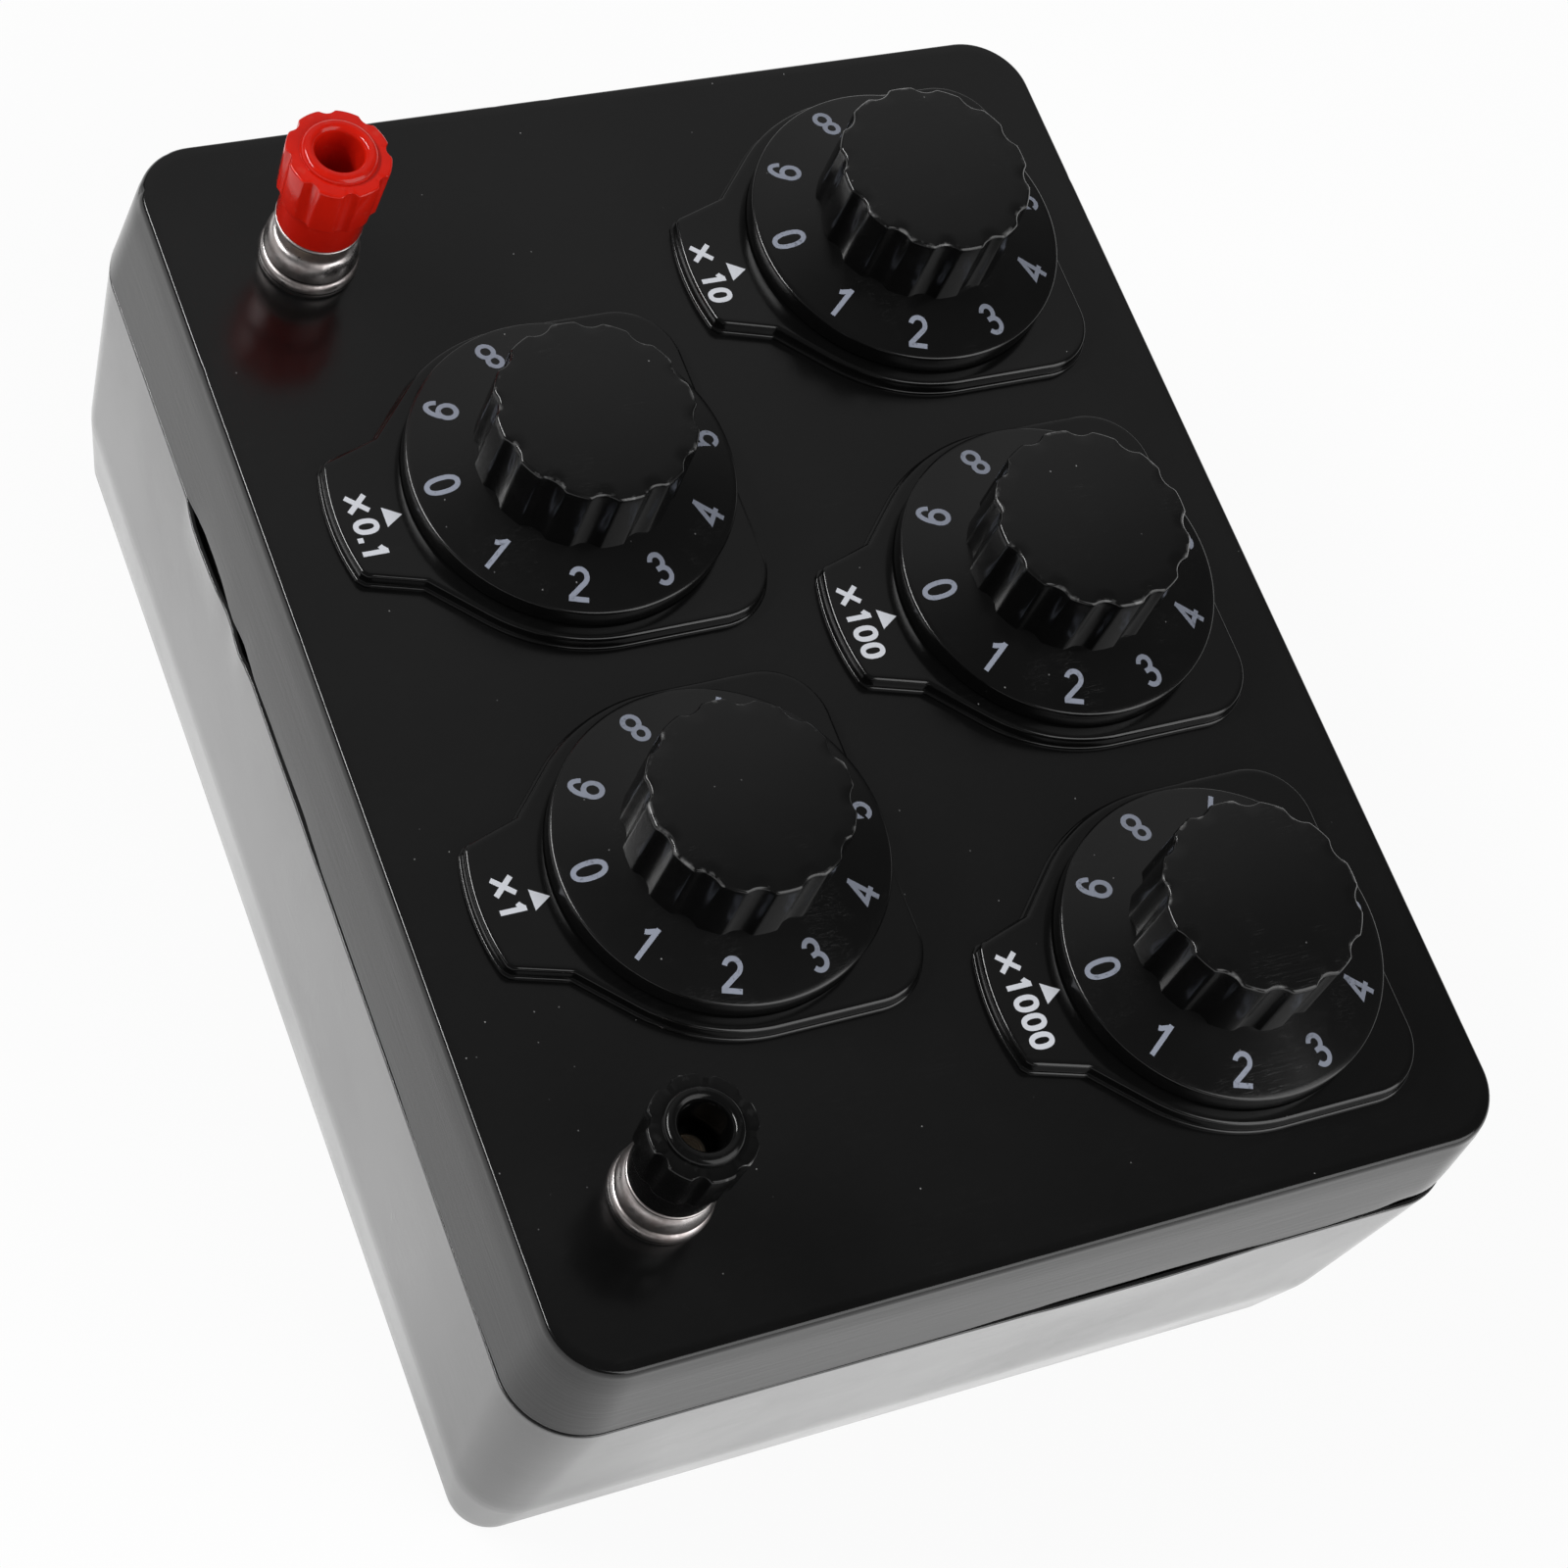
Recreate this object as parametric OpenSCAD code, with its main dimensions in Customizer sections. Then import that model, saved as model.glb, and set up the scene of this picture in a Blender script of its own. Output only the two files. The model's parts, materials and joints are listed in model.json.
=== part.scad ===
// Five-decade resistance box: a two-part moulded case, five ten-way stud
// switches with numbered knobs, and two screw-down binding posts.
// +X runs along the long side, +Y away from the user, +Z up.
// The origin is at the middle of the underside. Lengths are in millimetres.

/* [Case] */
// Length of the lid's top face
lid_l = 180; // [165:0.5:220]
// Width of the lid's top face
lid_w = 135.5; // [130:0.5:170]
// Corner radius of the lid's top face
corner_r = 9; // [7:0.5:14]
// Height of the case from its underside to the lid's top face
case_h = 69.4; // [60:0.2:90]
// Depth of the lid from its top face to the seam
rim_h = 18.6; // [14:0.2:24]
// How far the lid's rim flares out by the seam
rim_flare = 1.45; // [0.5:0.05:2.5]
// How far the base draws in again between the seam and the foot band
base_draw = 2.3; // [0.5:0.1:4]
// Height of the foot band, where the base draws in faster
foot_band_h = 14.8; // [8:0.2:20]
// How far the foot band draws in
foot_band_draw = 2.5; // [0.5:0.1:4]
// Rounding along the lid's top edge
lid_edge_r = 0.6; // [0.3:0.1:1.5]
// Rounding along the base's bottom edge
foot_edge_r = 1.2; // [0.4:0.1:2]
// Wall of the lid and of the base
wall = 2.8; // [2:0.1:3.5]
// Thickness of the lid's top
lid_t = 3; // [2.4:0.1:4]
// Thickness of the base's floor
floor_t = 3; // [2.4:0.1:5]
// Open shadow gap between the lid and the base
seam_gap = 0.3; // [0.1:0.1:1]
// Height of the locating lip that stands inside the lid
lip_h = 3; // [2:0.1:5]
// Thickness of the locating lip
lip_t = 1.4; // [1:0.1:2]
// Clearance between the lip and the lid
lip_clear = 0.3; // [0.15:0.05:0.6]

/* [Case screws] */
// Distance of each screw column from the two sides
column_inset = 12.5; // [12:0.1:14]
// Outside radius of the screw columns in the base
column_r = 5.3; // [4.8:0.1:5.6]
// Outside radius of the screw bosses under the lid
lid_boss_r = 4; // [3.2:0.1:4.4]
// How far below the seam the columns meet the lid's bosses
column_drop = 2; // [1:0.1:4]
// Length of screw inside the column
screw_grip = 10; // [6:0.5:20]
// Length of screw inside the lid's boss
screw_bite = 12; // [6:0.5:14]
// Radius of the case screws
screw_r = 1.75; // [1.25:0.05:2]
// Radius of the case screws' heads
screw_head_r = 3.3; // [2.8:0.1:3.4]
// Thickness of the case screws' heads
screw_head_h = 2.4; // [1.5:0.1:4]

/* [Dial layout] */
// Distance of the back row's outer dials from the lid's sides
dial_side = 33; // [31:0.1:36]
// Distance of the back row from the lid's far edge
back_row_inset = 32.15; // [30:0.05:34]
// Spacing of the two rows
row_pitch = 61.3; // [58:0.1:64]

/* [Dial plates] */
// Gap between neighbouring plates
plate_gap = 8.2; // [5:0.1:10]
// Reach of the plate's square end from the dial's axis
plate_far = 22.8; // [20:0.1:25]
// Corner radius of the square end
plate_corner_r = 8.3; // [4:0.1:12]
// Thickness of the plate
plate_h = 2.2; // [1.2:0.1:3]
// Radius of the tab's outer edge, about the dial's axis
tab_r = 32.6; // [30:0.1:33.5]
// Half width of the tab where it leaves the round end
tab_neck = 11.1; // [8:0.1:13]
// How much narrower each side of the tab is at its outer edge
tab_draw = 2.4; // [0:0.1:4]
// Width of the thin foot that runs round the plate
plate_foot = 0.4; // [0.1:0.1:0.8]
// Height of that foot
plate_foot_h = 0.5; // [0.2:0.1:1]

/* [Knobs] */
// Radius of the numbered skirt
skirt_r = 22.5; // [20:0.1:23.5]
// Height of the skirt's rim wall
skirt_rim_h = 3; // [2.4:0.1:4]
// Rise of the skirt's cone from its rim to the grip
skirt_rise = 2; // [1:0.1:3]
// Wall of the hollow under the skirt
skirt_wall = 1.6; // [1.2:0.1:2]
// Gap between the plate and the skirt
skirt_gap = 0.4; // [0.2:0.1:0.8]
// Radius of the grip
grip_r = 13.7; // [12:0.1:15]
// Height of the grip above the skirt
grip_h = 11.5; // [9:0.1:15]
// Rounding of the grip's top edge
grip_edge_r = 0.5; // [0.2:0.1:1]
// Number of flutes round the grip
flute_count = 12; // [8:1:16]
// Radius of each flute
flute_r = 2.9; // [2:0.1:4]
// Depth of each flute
flute_depth = 0.75; // [0.4:0.05:1.2]

/* [Switches] */
// Number of positions on a dial
positions = 10; // [8:1:12]
// Radius of the spindles
spindle_r = 3; // [2.5:0.1:3.5]
// Length of spindle inside the knob
spindle_grip = 10; // [7:0.5:11]
// Depth of the flat on the spindle's top end
spindle_flat = 0.5; // [0.3:0.1:0.8]
// Wall of the wiper's hub
wiper_hub_wall = 2; // [1.5:0.1:2.5]
// Height of the wiper's hub
wiper_hub_h = 3.2; // [2.5:0.1:3.5]
// Thickness of the wiper's fingers
wiper_t = 0.6; // [0.4:0.1:0.8]
// Width of the wiper's fingers
wiper_w = 3.2; // [2.4:0.1:4]
// Radius of the bush that holds a spindle in the lid
bush_r = 4.7; // [4.4:0.1:5.2]
// Radius of the bush's flange
bush_flange_r = 7; // [6.5:0.1:8]
// Thickness of the bush's flange
bush_flange_h = 1.6; // [1:0.1:2.5]
// Thickness of the nut on the bush
bush_nut_h = 2.2; // [1.6:0.1:2.4]
// Width of the nut across its flats
bush_nut_af = 14; // [12:0.5:16]
// Radius of the detent wheel
detent_r = 9; // [8.5:0.1:10]
// Thickness of the detent wheel
detent_h = 2.5; // [1.5:0.1:3]
// Radius of the detent notches
notch_r = 1.6; // [1.2:0.1:1.8]
// Thickness of the leaf spring
leaf_t = 0.4; // [0.3:0.05:0.6]
// Length of the leaf spring
leaf_l = 20; // [18:0.5:22]
// Clearance of the leaf's nose in a notch
nose_clear = 0.3; // [0.1:0.05:0.4]
// Thickness of the block that holds the leaf's fixed end
anchor_t = 2.4; // [2:0.1:3]
// Length of that block
anchor_l = 5; // [4:0.1:6]
// Radius of the circle of contact studs
stud_circle_r = 14; // [13.5:0.1:14.5]
// Radius of a contact stud's head
stud_head_r = 2.4; // [2:0.1:2.6]
// Height of a contact stud's head
stud_head_h = 1; // [0.6:0.1:1.5]
// Radius of a contact stud's tail
stud_tail_r = 1.1; // [0.8:0.1:1.2]
// Length of tail below the deck
stud_tail_l = 2; // [1.5:0.1:3]
// Width of the collector ring
ring_w = 2.2; // [1.6:0.1:2.6]
// Gap between the collector ring and the contact studs
ring_gap = 2.4; // [2:0.1:2.8]
// Radius of a switch deck
deck_r = 22; // [21.5:0.1:22.4]
// Thickness of a switch deck
deck_t = 2.5; // [1.6:0.1:4]
// Height of the space between the lid and the deck
deck_space = 13; // [12.5:0.1:16]
// Radius of the circle of the deck's fixing bosses
deck_boss_circle_r = 19; // [18.8:0.1:19.4]
// Radius of the deck's fixing bosses
deck_boss_r = 2.3; // [2:0.1:2.4]
// Radius of the deck's screws
deck_screw_r = 1.1; // [0.8:0.1:1.3]
// Length of deck screw inside the boss
deck_screw_bite = 6; // [4:0.5:8]
// Thickness of the deck screws' heads
deck_screw_head_h = 1.4; // [1:0.1:2]
// Length of a resistance bobbin
bobbin_l = 9; // [6:0.5:14]
// Radius of a bobbin's end flanges
bobbin_r = 2.5; // [2:0.1:2.6]
// Thickness of a bobbin's end flanges
bobbin_flange_h = 0.6; // [0.4:0.1:1]
// Radius of the winding on a bobbin
winding_r = 2.2; // [1.6:0.1:2.4]

/* [Binding posts] */
// Distance of the red post from the nearest side
red_inset = 19.7; // [19:0.1:23]
// Distance of the black post from the nearest side
black_inset = 21.1; // [19:0.1:23]
// Distance of both posts from the lid's near edge
post_inset_y = 19.9; // [19:0.1:22]
// Radius of the posts' threaded studs
post_stud_r = 2.45; // [2.2:0.05:2.7]
// Height of the studs above the lid
post_stud_top = 12.7; // [12:0.1:14]
// Chamfer on the studs' top ends
post_stud_edge = 0.35; // [0.2:0.05:0.6]
// Length of stud below its nut
post_tail = 2; // [1:0.1:3]
// Pitch of the studs' thread
post_pitch = 0.8; // [0.5:0.1:1]
// Radius of the collar's flange
collar_flange_r = 6.8; // [6.4:0.1:7.5]
// Height of the collar's flange
collar_flange_h = 1.4; // [0.8:0.1:2]
// Radius of the groove above the flange
collar_groove_r = 5.9; // [5.4:0.1:6.3]
// Height of the groove
collar_groove_h = 0.5; // [0.3:0.1:1.4]
// Radius of the collar's domed barrel
collar_barrel_r = 6.45; // [6.2:0.05:7]
// Height of the barrel's straight side
collar_side_h = 2; // [1:0.1:3]
// Radius of the barrel's rounded shoulder
collar_round_r = 1.35; // [0.8:0.05:2]
// Radius of the clamping washer
washer_r = 5.9; // [5.4:0.1:6.2]
// Thickness of the clamping washer
washer_t = 0.6; // [0.4:0.1:1]
// Length of the cap's plain skirt
cap_skirt_h = 5.6; // [4:0.1:7]
// Radius of the cap's plain skirt
cap_skirt_r = 5.85; // [5.6:0.05:6.1]
// Length of the cap's ribs
cap_rib_h = 8.5; // [6:0.1:11]
// Radius over the ribs at their lower ends
cap_rib_low_r = 6.75; // [6.5:0.05:6.9]
// Radius over the ribs at their upper ends
cap_rib_r = 7.05; // [6.8:0.05:7.6]
// Number of ribs
cap_ribs = 8; // [6:1:10]
// Radius of the flutes between the ribs
cap_flute_r = 1.4; // [0.8:0.05:1.8]
// Depth of those flutes at their upper ends
cap_flute_depth = 0.75; // [0.4:0.05:0.9]
// Radius of the cap's mouth
cap_mouth_r = 3.25; // [3:0.05:3.5]
// Thickness of the ledge between the mouth and the insert
cap_ledge_t = 1.2; // [0.8:0.1:2]
// Thickness of the rounded ring about the mouth
cap_ring_t = 1.9; // [1.2:0.1:2]
// Length of the threaded insert in the cap
insert_l = 5; // [4:0.1:6]
// Outside radius of the threaded insert
insert_r = 4.4; // [4:0.1:4.6]
// How far the red cap is unscrewed
red_lift = 2.44; // [0:0.01:5]
// Width of a post's nut across its flats
post_nut_af = 8; // [7.5:0.1:8.5]
// Thickness of a post's nut
post_nut_h = 4; // [3:0.1:6]
// Thickness of a solder lug
lug_t = 0.8; // [0.5:0.1:1.2]
// Reach of a solder lug's tail from the post
lug_reach = 11; // [9:0.5:14]
// Width of a solder lug's tail
lug_w = 4; // [3:0.1:5]
// How far a solder lug's eye stands out past its nut
lug_margin = 0.6; // [0.3:0.1:1]
// Radius of the link wires
wire_r = 0.7; // [0.4:0.1:0.9]

/* [Clearances] */
// Radial clearance of a turning shaft in its hole
run_clear = 0.05; // [0.02:0.01:0.1]
// Radial clearance of pieces that are pressed or screwed together
seat_clear = 0.03; // [0.01:0.01:0.05]
// Gap between a wiper and the contacts it passes over
wipe_clear = 0.1; // [0.05:0.05:0.3]
// Free space between moving pieces and fixed ones
free_gap = 0.4; // [0.3:0.1:0.6]

/* [Hidden] */
$fn = 48;
slice_h = 0.02;
cut = 1;
// Sine of 45 degrees, for the rounded lid edge and the plate's tangent flanks
half_turn_sin = sqrt(0.5);

// Places on the lid, from its middle
dial_pitch = lid_l / 2 - dial_side;
plate_r = (dial_pitch - plate_gap) / 2;
back_row_y = lid_w / 2 - back_row_inset;
front_row_y = back_row_y - row_pitch;
red_x = red_inset - lid_l / 2;
black_x = lid_l / 2 - black_inset;
post_y = post_inset_y - lid_w / 2;

// Heights from the underside of the case
seam_z = case_h - rim_h;
base_top_z = seam_z - seam_gap;
lid_under_z = case_h - lid_t;
column_top_z = base_top_z - column_drop;
screw_seat_z = column_top_z - screw_grip;

// Heights from the lid's top face
bush_nut_z = plate_h;
bush_top_z = bush_nut_z + bush_nut_h + free_gap;
skirt_low_z = plate_h + skirt_gap;
skirt_edge_z = skirt_low_z + skirt_rim_h;
grip_low_z = skirt_edge_z + skirt_rise;
grip_top_z = grip_low_z + grip_h;
hollow_top_z = bush_top_z + free_gap;
spindle_top_z = hollow_top_z + spindle_grip;
bush_low_z = -lid_t - bush_flange_h;
detent_top_z = bush_low_z - free_gap;
detent_low_z = detent_top_z - detent_h;
deck_top_z = -lid_t - deck_space;
deck_low_z = deck_top_z - deck_t;
contact_z = deck_top_z + stud_head_h;
tail_z = deck_low_z - stud_tail_l;
spindle_low_z = deck_low_z - cut;

// The wiper: a hub under the detent wheel with one long and one short finger
wiper_hub_r = spindle_r + wiper_hub_wall;
wiper_root_r = spindle_r + wiper_hub_wall / 2;
wiper_top_z = detent_low_z - free_gap;
wiper_low_z = wiper_top_z - wiper_hub_h;
wiper_tip_z = contact_z + wipe_clear;
ring_out_r = stud_circle_r - stud_head_r - ring_gap;
ring_in_r = ring_out_r - ring_w;

// The detent: a leaf whose round nose sits in one notch of the wheel
notch_ring_r = detent_r + notch_r / 4;
nose_r = notch_r - nose_clear;
leaf_face_x = -notch_ring_r - nose_r / 2;

// Fixing bosses of a deck
boss_angles = [45, 225];
deck_screw_head_r = 2 * deck_screw_r;

// The binding posts
collar_shoulder_z = collar_flange_h + collar_groove_h + collar_side_h;
collar_top_z = collar_shoulder_z + collar_round_r;
cap_foot_z = collar_top_z + washer_t;
cap_face_h = cap_skirt_h + cap_rib_h;
post_low_z = -lid_t - lug_t - post_nut_h - post_tail;
lug_r = post_nut_af / 2 + lug_margin;

positions_step = 360 / positions;
first_angle = 270;

// Each dial: its name and its axis on the lid
DIALS = [
    ["tenths", -dial_pitch / 2, front_row_y],
    ["units", dial_pitch / 2, front_row_y],
    ["tens", -dial_pitch, back_row_y],
    ["hundreds", 0, back_row_y],
    ["thousands", dial_pitch, back_row_y],
];
TENTHS = DIALS[0];
UNITS = DIALS[1];
TENS = DIALS[2];
HUNDREDS = DIALS[3];
THOUSANDS = DIALS[4];

// Each post: its name, its axis on the lid and how far its cap is unscrewed
POSTS = [
    ["red", red_x, post_y, red_lift],
    ["black", black_x, post_y, 0],
];
POST_COLOURS = ["firebrick", "#1a1a1a"];

// Angle of one dial position, counted from the one at the plate's pointer
function position_angle(i) = first_angle + positions_step * i;

// How far the case's outline stands out from the lid's top face at a height
function rim_grow(z) = rim_flare * (case_h - z) / rim_h;
function base_grow(z) =
    z > foot_band_h
        ? rim_flare - base_draw * (seam_z - z) / (seam_z - foot_band_h)
        : rim_flare - base_draw - foot_band_draw * (1 - z / foot_band_h);

// Placing
module on_lid(item) {
    translate([item[1], item[2], case_h])
        children();
}

module at_columns() {
    for (sx = [-1, 1], sy = [-1, 1])
        translate([sx * (lid_l / 2 - column_inset), sy * (lid_w / 2 - column_inset), 0])
            children();
}

module at_bosses() {
    for (a = boss_angles)
        rotate(a)
            translate([deck_boss_circle_r, 0, 0])
                children();
}

module at_positions(radius, shift = 0, count = positions) {
    for (i = [0 : count - 1])
        rotate(position_angle(i + shift))
            translate([radius, 0, 0])
                children();
}

// A tube about the Z axis, from z0 to z1
module tube(outer, inner, z0, z1) {
    translate([0, 0, z0])
        difference() {
            cylinder(r = outer, h = z1 - z0);
            translate([0, 0, -cut])
                cylinder(r = inner, h = z1 - z0 + 2 * cut);
        }
}

module rod(radius, z0, z1) {
    translate([0, 0, z0])
        cylinder(r = radius, h = z1 - z0);
}

// A hexagon prism with a round hole
module hex_nut(across_flats, hole, z0, z1) {
    translate([0, 0, z0])
        difference() {
            cylinder(d = across_flats / cos(30), h = z1 - z0, $fn = 6);
            translate([0, 0, -cut])
                cylinder(r = hole, h = z1 - z0 + 2 * cut);
        }
}

// A straight eight-sided wire between two points, longer at an end that meets another run
module wire_run(a, b, over_a, over_b) {
    step = b - a;
    flat = norm([step[0], step[1]]);
    translate(a)
        rotate([0, atan2(flat, step[2]), atan2(step[1], step[0])])
            translate([0, 0, -over_a])
                cylinder(r = wire_r, h = norm(step) + over_a + over_b, $fn = 8);
}

module wire(points) {
    last = len(points) - 1;
    lap = wire_r / 2;
    for (i = [1 : last])
        wire_run(points[i - 1], points[i], i > 1 ? lap : 0, i < last ? lap : 0);
}

// One level of the case's outline: the lid's face, grown by some amount
module case_slice(z, grow) {
    for (sx = [-1, 1], sy = [-1, 1])
        translate([sx * (lid_l / 2 - corner_r), sy * (lid_w / 2 - corner_r), z])
            cylinder(r = corner_r + grow, h = slice_h);
}

// The drafted form between levels, each given as [height, growth]
module case_form(levels) {
    hull()
        for (level = levels)
            case_slice(level[0], level[1]);
}

// The case
module lid() {
    edge_step = lid_edge_r * (1 - half_turn_sin);
    color("#1c1c1d")
        difference() {
            union() {
                difference() {
                    case_form([
                        [seam_z, rim_grow(seam_z)],
                        [case_h - lid_edge_r, 0],
                        [case_h - edge_step - slice_h, -edge_step],
                        [case_h - slice_h, -lid_edge_r],
                    ]);
                    case_form([
                        [seam_z - cut, rim_grow(seam_z) - wall],
                        [lid_under_z - slice_h, rim_grow(lid_under_z) - wall],
                    ]);
                }
                at_columns()
                    rod(lid_boss_r, column_top_z, lid_under_z + cut);
                for (dial = DIALS)
                    on_lid(dial) {
                        at_bosses()
                            rod(deck_boss_r, deck_top_z, -lid_t + cut);
                        leaf_anchor();
                    }
            }
            at_columns()
                rod(screw_r + seat_clear, column_top_z - cut, column_top_z + screw_bite + cut);
            for (dial = DIALS)
                on_lid(dial) {
                    rod(bush_r + seat_clear, -lid_t - cut, cut);
                    at_bosses()
                        rod(deck_screw_r + seat_clear, deck_top_z - cut, deck_top_z + deck_screw_bite + cut);
                }
            for (post = POSTS)
                on_lid(post)
                    rod(post_stud_r + seat_clear, -lid_t - cut, cut);
        }
}

// Block under the lid that holds the fixed end of a leaf spring
module leaf_anchor() {
    translate([leaf_face_x - leaf_t - anchor_t, leaf_l / 2 - anchor_l, detent_low_z])
        cube([anchor_t, anchor_l, -lid_t + cut - detent_low_z]);
}

module base_case() {
    lip_low_z = base_top_z - lip_h;
    lip_top_z = seam_z + lip_h;
    lip_out = rim_grow(seam_z) - wall - lip_clear;
    edge_step = foot_edge_r * (1 - half_turn_sin);
    color("#202021")
        difference() {
            union() {
                difference() {
                    union() {
                        case_form([
                            [0, base_grow(0) - foot_edge_r],
                            [edge_step, base_grow(edge_step) - edge_step],
                            [foot_edge_r, base_grow(foot_edge_r)],
                            [foot_band_h, base_grow(foot_band_h)],
                            [base_top_z - slice_h, base_grow(base_top_z)],
                        ]);
                        case_form([[lip_low_z, lip_out], [lip_top_z - slice_h, lip_out - lip_h * rim_flare / rim_h]]);
                    }
                    case_form([
                        [floor_t, base_grow(floor_t) - wall],
                        [foot_band_h, base_grow(foot_band_h) - wall],
                        [lip_low_z - lip_t, base_grow(lip_low_z - lip_t) - wall],
                        [lip_low_z, lip_out - lip_t],
                    ]);
                    case_form([
                        [lip_low_z - slice_h, lip_out - lip_t],
                        [lip_top_z + cut, lip_out - lip_t - (lip_h + cut) * rim_flare / rim_h],
                    ]);
                }
                at_columns()
                    rod(column_r, floor_t - slice_h, column_top_z);
            }
            at_columns() {
                rod(screw_r + run_clear, -cut, column_top_z + cut);
                rod(screw_head_r + free_gap, -cut, screw_seat_z);
            }
        }
}

module case_screws() {
    color("silver")
        at_columns() {
            rod(screw_r, screw_seat_z, column_top_z + screw_bite);
            rod(screw_head_r, screw_seat_z - screw_head_h, screw_seat_z);
        }
}

// The dials
// Outline of a plate, grown by some amount on every side
module plate_outline(grow = 0) {
    r = plate_r + grow;
    corner_y = plate_far - plate_corner_r;
    corner_x = plate_r - plate_corner_r;
    tangent = r * half_turn_sin;
    neck_y = tab_neck + grow - r / half_turn_sin;
    tip_x = tab_neck + grow - tab_draw;
    tip_y = -tab_r;
    circle(r = r, $fn = 96);
    translate([-r, 0])
        square([2 * r, corner_y]);
    translate([-corner_x, 0])
        square([2 * corner_x, plate_far + grow]);
    for (sx = [-1, 1])
        translate([sx * corner_x, corner_y])
            circle(r = plate_corner_r + grow);
    polygon([[-tangent, -tangent], [-tab_neck - grow, neck_y], [tab_neck + grow, neck_y], [tangent, -tangent]]);
    intersection() {
        circle(r = tab_r + grow, $fn = 96);
        polygon([[-tab_neck - grow, neck_y], [-tip_x, tip_y - cut], [tip_x, tip_y - cut], [tab_neck + grow, neck_y]]);
    }
}

module dial_plate() {
    color("#191919")
        difference() {
            union() {
                linear_extrude(height = plate_h)
                    plate_outline();
                linear_extrude(height = plate_foot_h)
                    plate_outline(plate_foot);
            }
            rod(bush_r + seat_clear, -cut, plate_h + cut);
        }
}

// A spindle's section with a flat, used for the spindle's end and the knob's bore
module flatted_rod(radius, flat, z0, z1) {
    intersection() {
        rod(radius, z0, z1);
        translate([-2 * radius, -flat, z0 - cut])
            cube([4 * radius, 4 * radius, z1 - z0 + 2 * cut]);
    }
}

module dial_knob() {
    flute_axis_r = grip_r - flute_depth + flute_r;
    skirt_slope = skirt_rise / (skirt_r - grip_r);
    hollow_r = skirt_r - skirt_wall;
    hollow_edge_z = skirt_edge_z - skirt_wall;
    hollow_inner_r = hollow_r - max(0, hollow_top_z - hollow_edge_z) / skirt_slope;
    color("#161616")
        difference() {
            rotate_extrude($fn = 96) {
                polygon([
                    [0, skirt_low_z],
                    [skirt_r, skirt_low_z],
                    [skirt_r, skirt_edge_z],
                    [grip_r, grip_low_z],
                    [grip_r, grip_top_z - grip_edge_r],
                    [grip_r - grip_edge_r, grip_top_z],
                    [0, grip_top_z],
                ]);
                translate([grip_r - grip_edge_r, grip_top_z - grip_edge_r])
                    circle(r = grip_edge_r);
            }
            for (i = [0 : flute_count - 1])
                rotate((i + 0.5) * 360 / flute_count)
                    translate([flute_axis_r, 0, 0])
                        rod(flute_r, grip_low_z, grip_top_z + cut);
            rotate_extrude($fn = 96)
                polygon([
                    [0, skirt_low_z - cut],
                    [hollow_r, skirt_low_z - cut],
                    [hollow_r, hollow_edge_z],
                    [max(hollow_inner_r, wiper_hub_r), hollow_top_z],
                    [0, hollow_top_z],
                ]);
            flatted_rod(
                spindle_r + seat_clear,
                spindle_r - spindle_flat + seat_clear,
                hollow_top_z - cut,
                spindle_top_z + free_gap
            );
        }
}

module dial_spindle() {
    color("silver") {
        rod(spindle_r, spindle_low_z, bush_top_z);
        flatted_rod(spindle_r, spindle_r - spindle_flat, bush_top_z, spindle_top_z);
    }
}

module detent_wheel() {
    color("goldenrod")
        difference() {
            tube(detent_r, spindle_r + seat_clear, detent_low_z, detent_top_z);
            for (i = [0 : positions - 1])
                rotate(180 + positions_step * i)
                    translate([notch_ring_r, 0, 0])
                        rod(notch_r, detent_low_z - cut, detent_top_z + cut);
        }
}

module detent_spring() {
    color("lightsteelblue") {
        translate([leaf_face_x - leaf_t, -leaf_l / 2, detent_low_z])
            cube([leaf_t, leaf_l, detent_h]);
        intersection() {
            translate([-notch_ring_r, 0, 0])
                rod(nose_r, detent_low_z, detent_top_z);
            translate([leaf_face_x - leaf_t / 2, -nose_r, detent_low_z])
                cube([2 * nose_r, 2 * nose_r, detent_h]);
        }
    }
}

// One sprung finger, seen from the side: from the hub down to a flat contact foot
module wiper_finger(foot_in, foot_out) {
    translate([0, wiper_w / 2, 0])
        rotate([90, 0, 0])
            linear_extrude(height = wiper_w)
                polygon([
                    [wiper_root_r, wiper_low_z],
                    [wiper_hub_r, wiper_low_z],
                    [foot_in, wiper_tip_z],
                    [foot_out, wiper_tip_z],
                    [foot_out, wiper_tip_z + wiper_t],
                    [foot_in + wiper_t, wiper_tip_z + wiper_t],
                    [wiper_hub_r + wiper_t, wiper_low_z + wiper_t],
                    [wiper_root_r, wiper_low_z + wiper_t],
                ]);
}

module dial_wiper() {
    color("peru")
        difference() {
            union() {
                rod(wiper_hub_r, wiper_low_z, wiper_top_z);
                rotate(first_angle)
                    wiper_finger(stud_circle_r - stud_head_r / 2, stud_circle_r + stud_head_r / 2);
                rotate(first_angle + 180)
                    wiper_finger(ring_in_r, ring_out_r);
            }
            rod(spindle_r + seat_clear, wiper_low_z - cut, wiper_top_z + cut);
        }
}

module switch_deck() {
    color("saddlebrown")
        difference() {
            rod(deck_r, deck_low_z, deck_top_z);
            rod(spindle_r + run_clear, deck_low_z - cut, deck_top_z + cut);
            at_positions(stud_circle_r)
                rod(stud_tail_r + seat_clear, deck_low_z - cut, deck_top_z + cut);
            at_bosses()
                rod(deck_screw_r + run_clear, deck_low_z - cut, deck_top_z + cut);
        }
}

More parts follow.
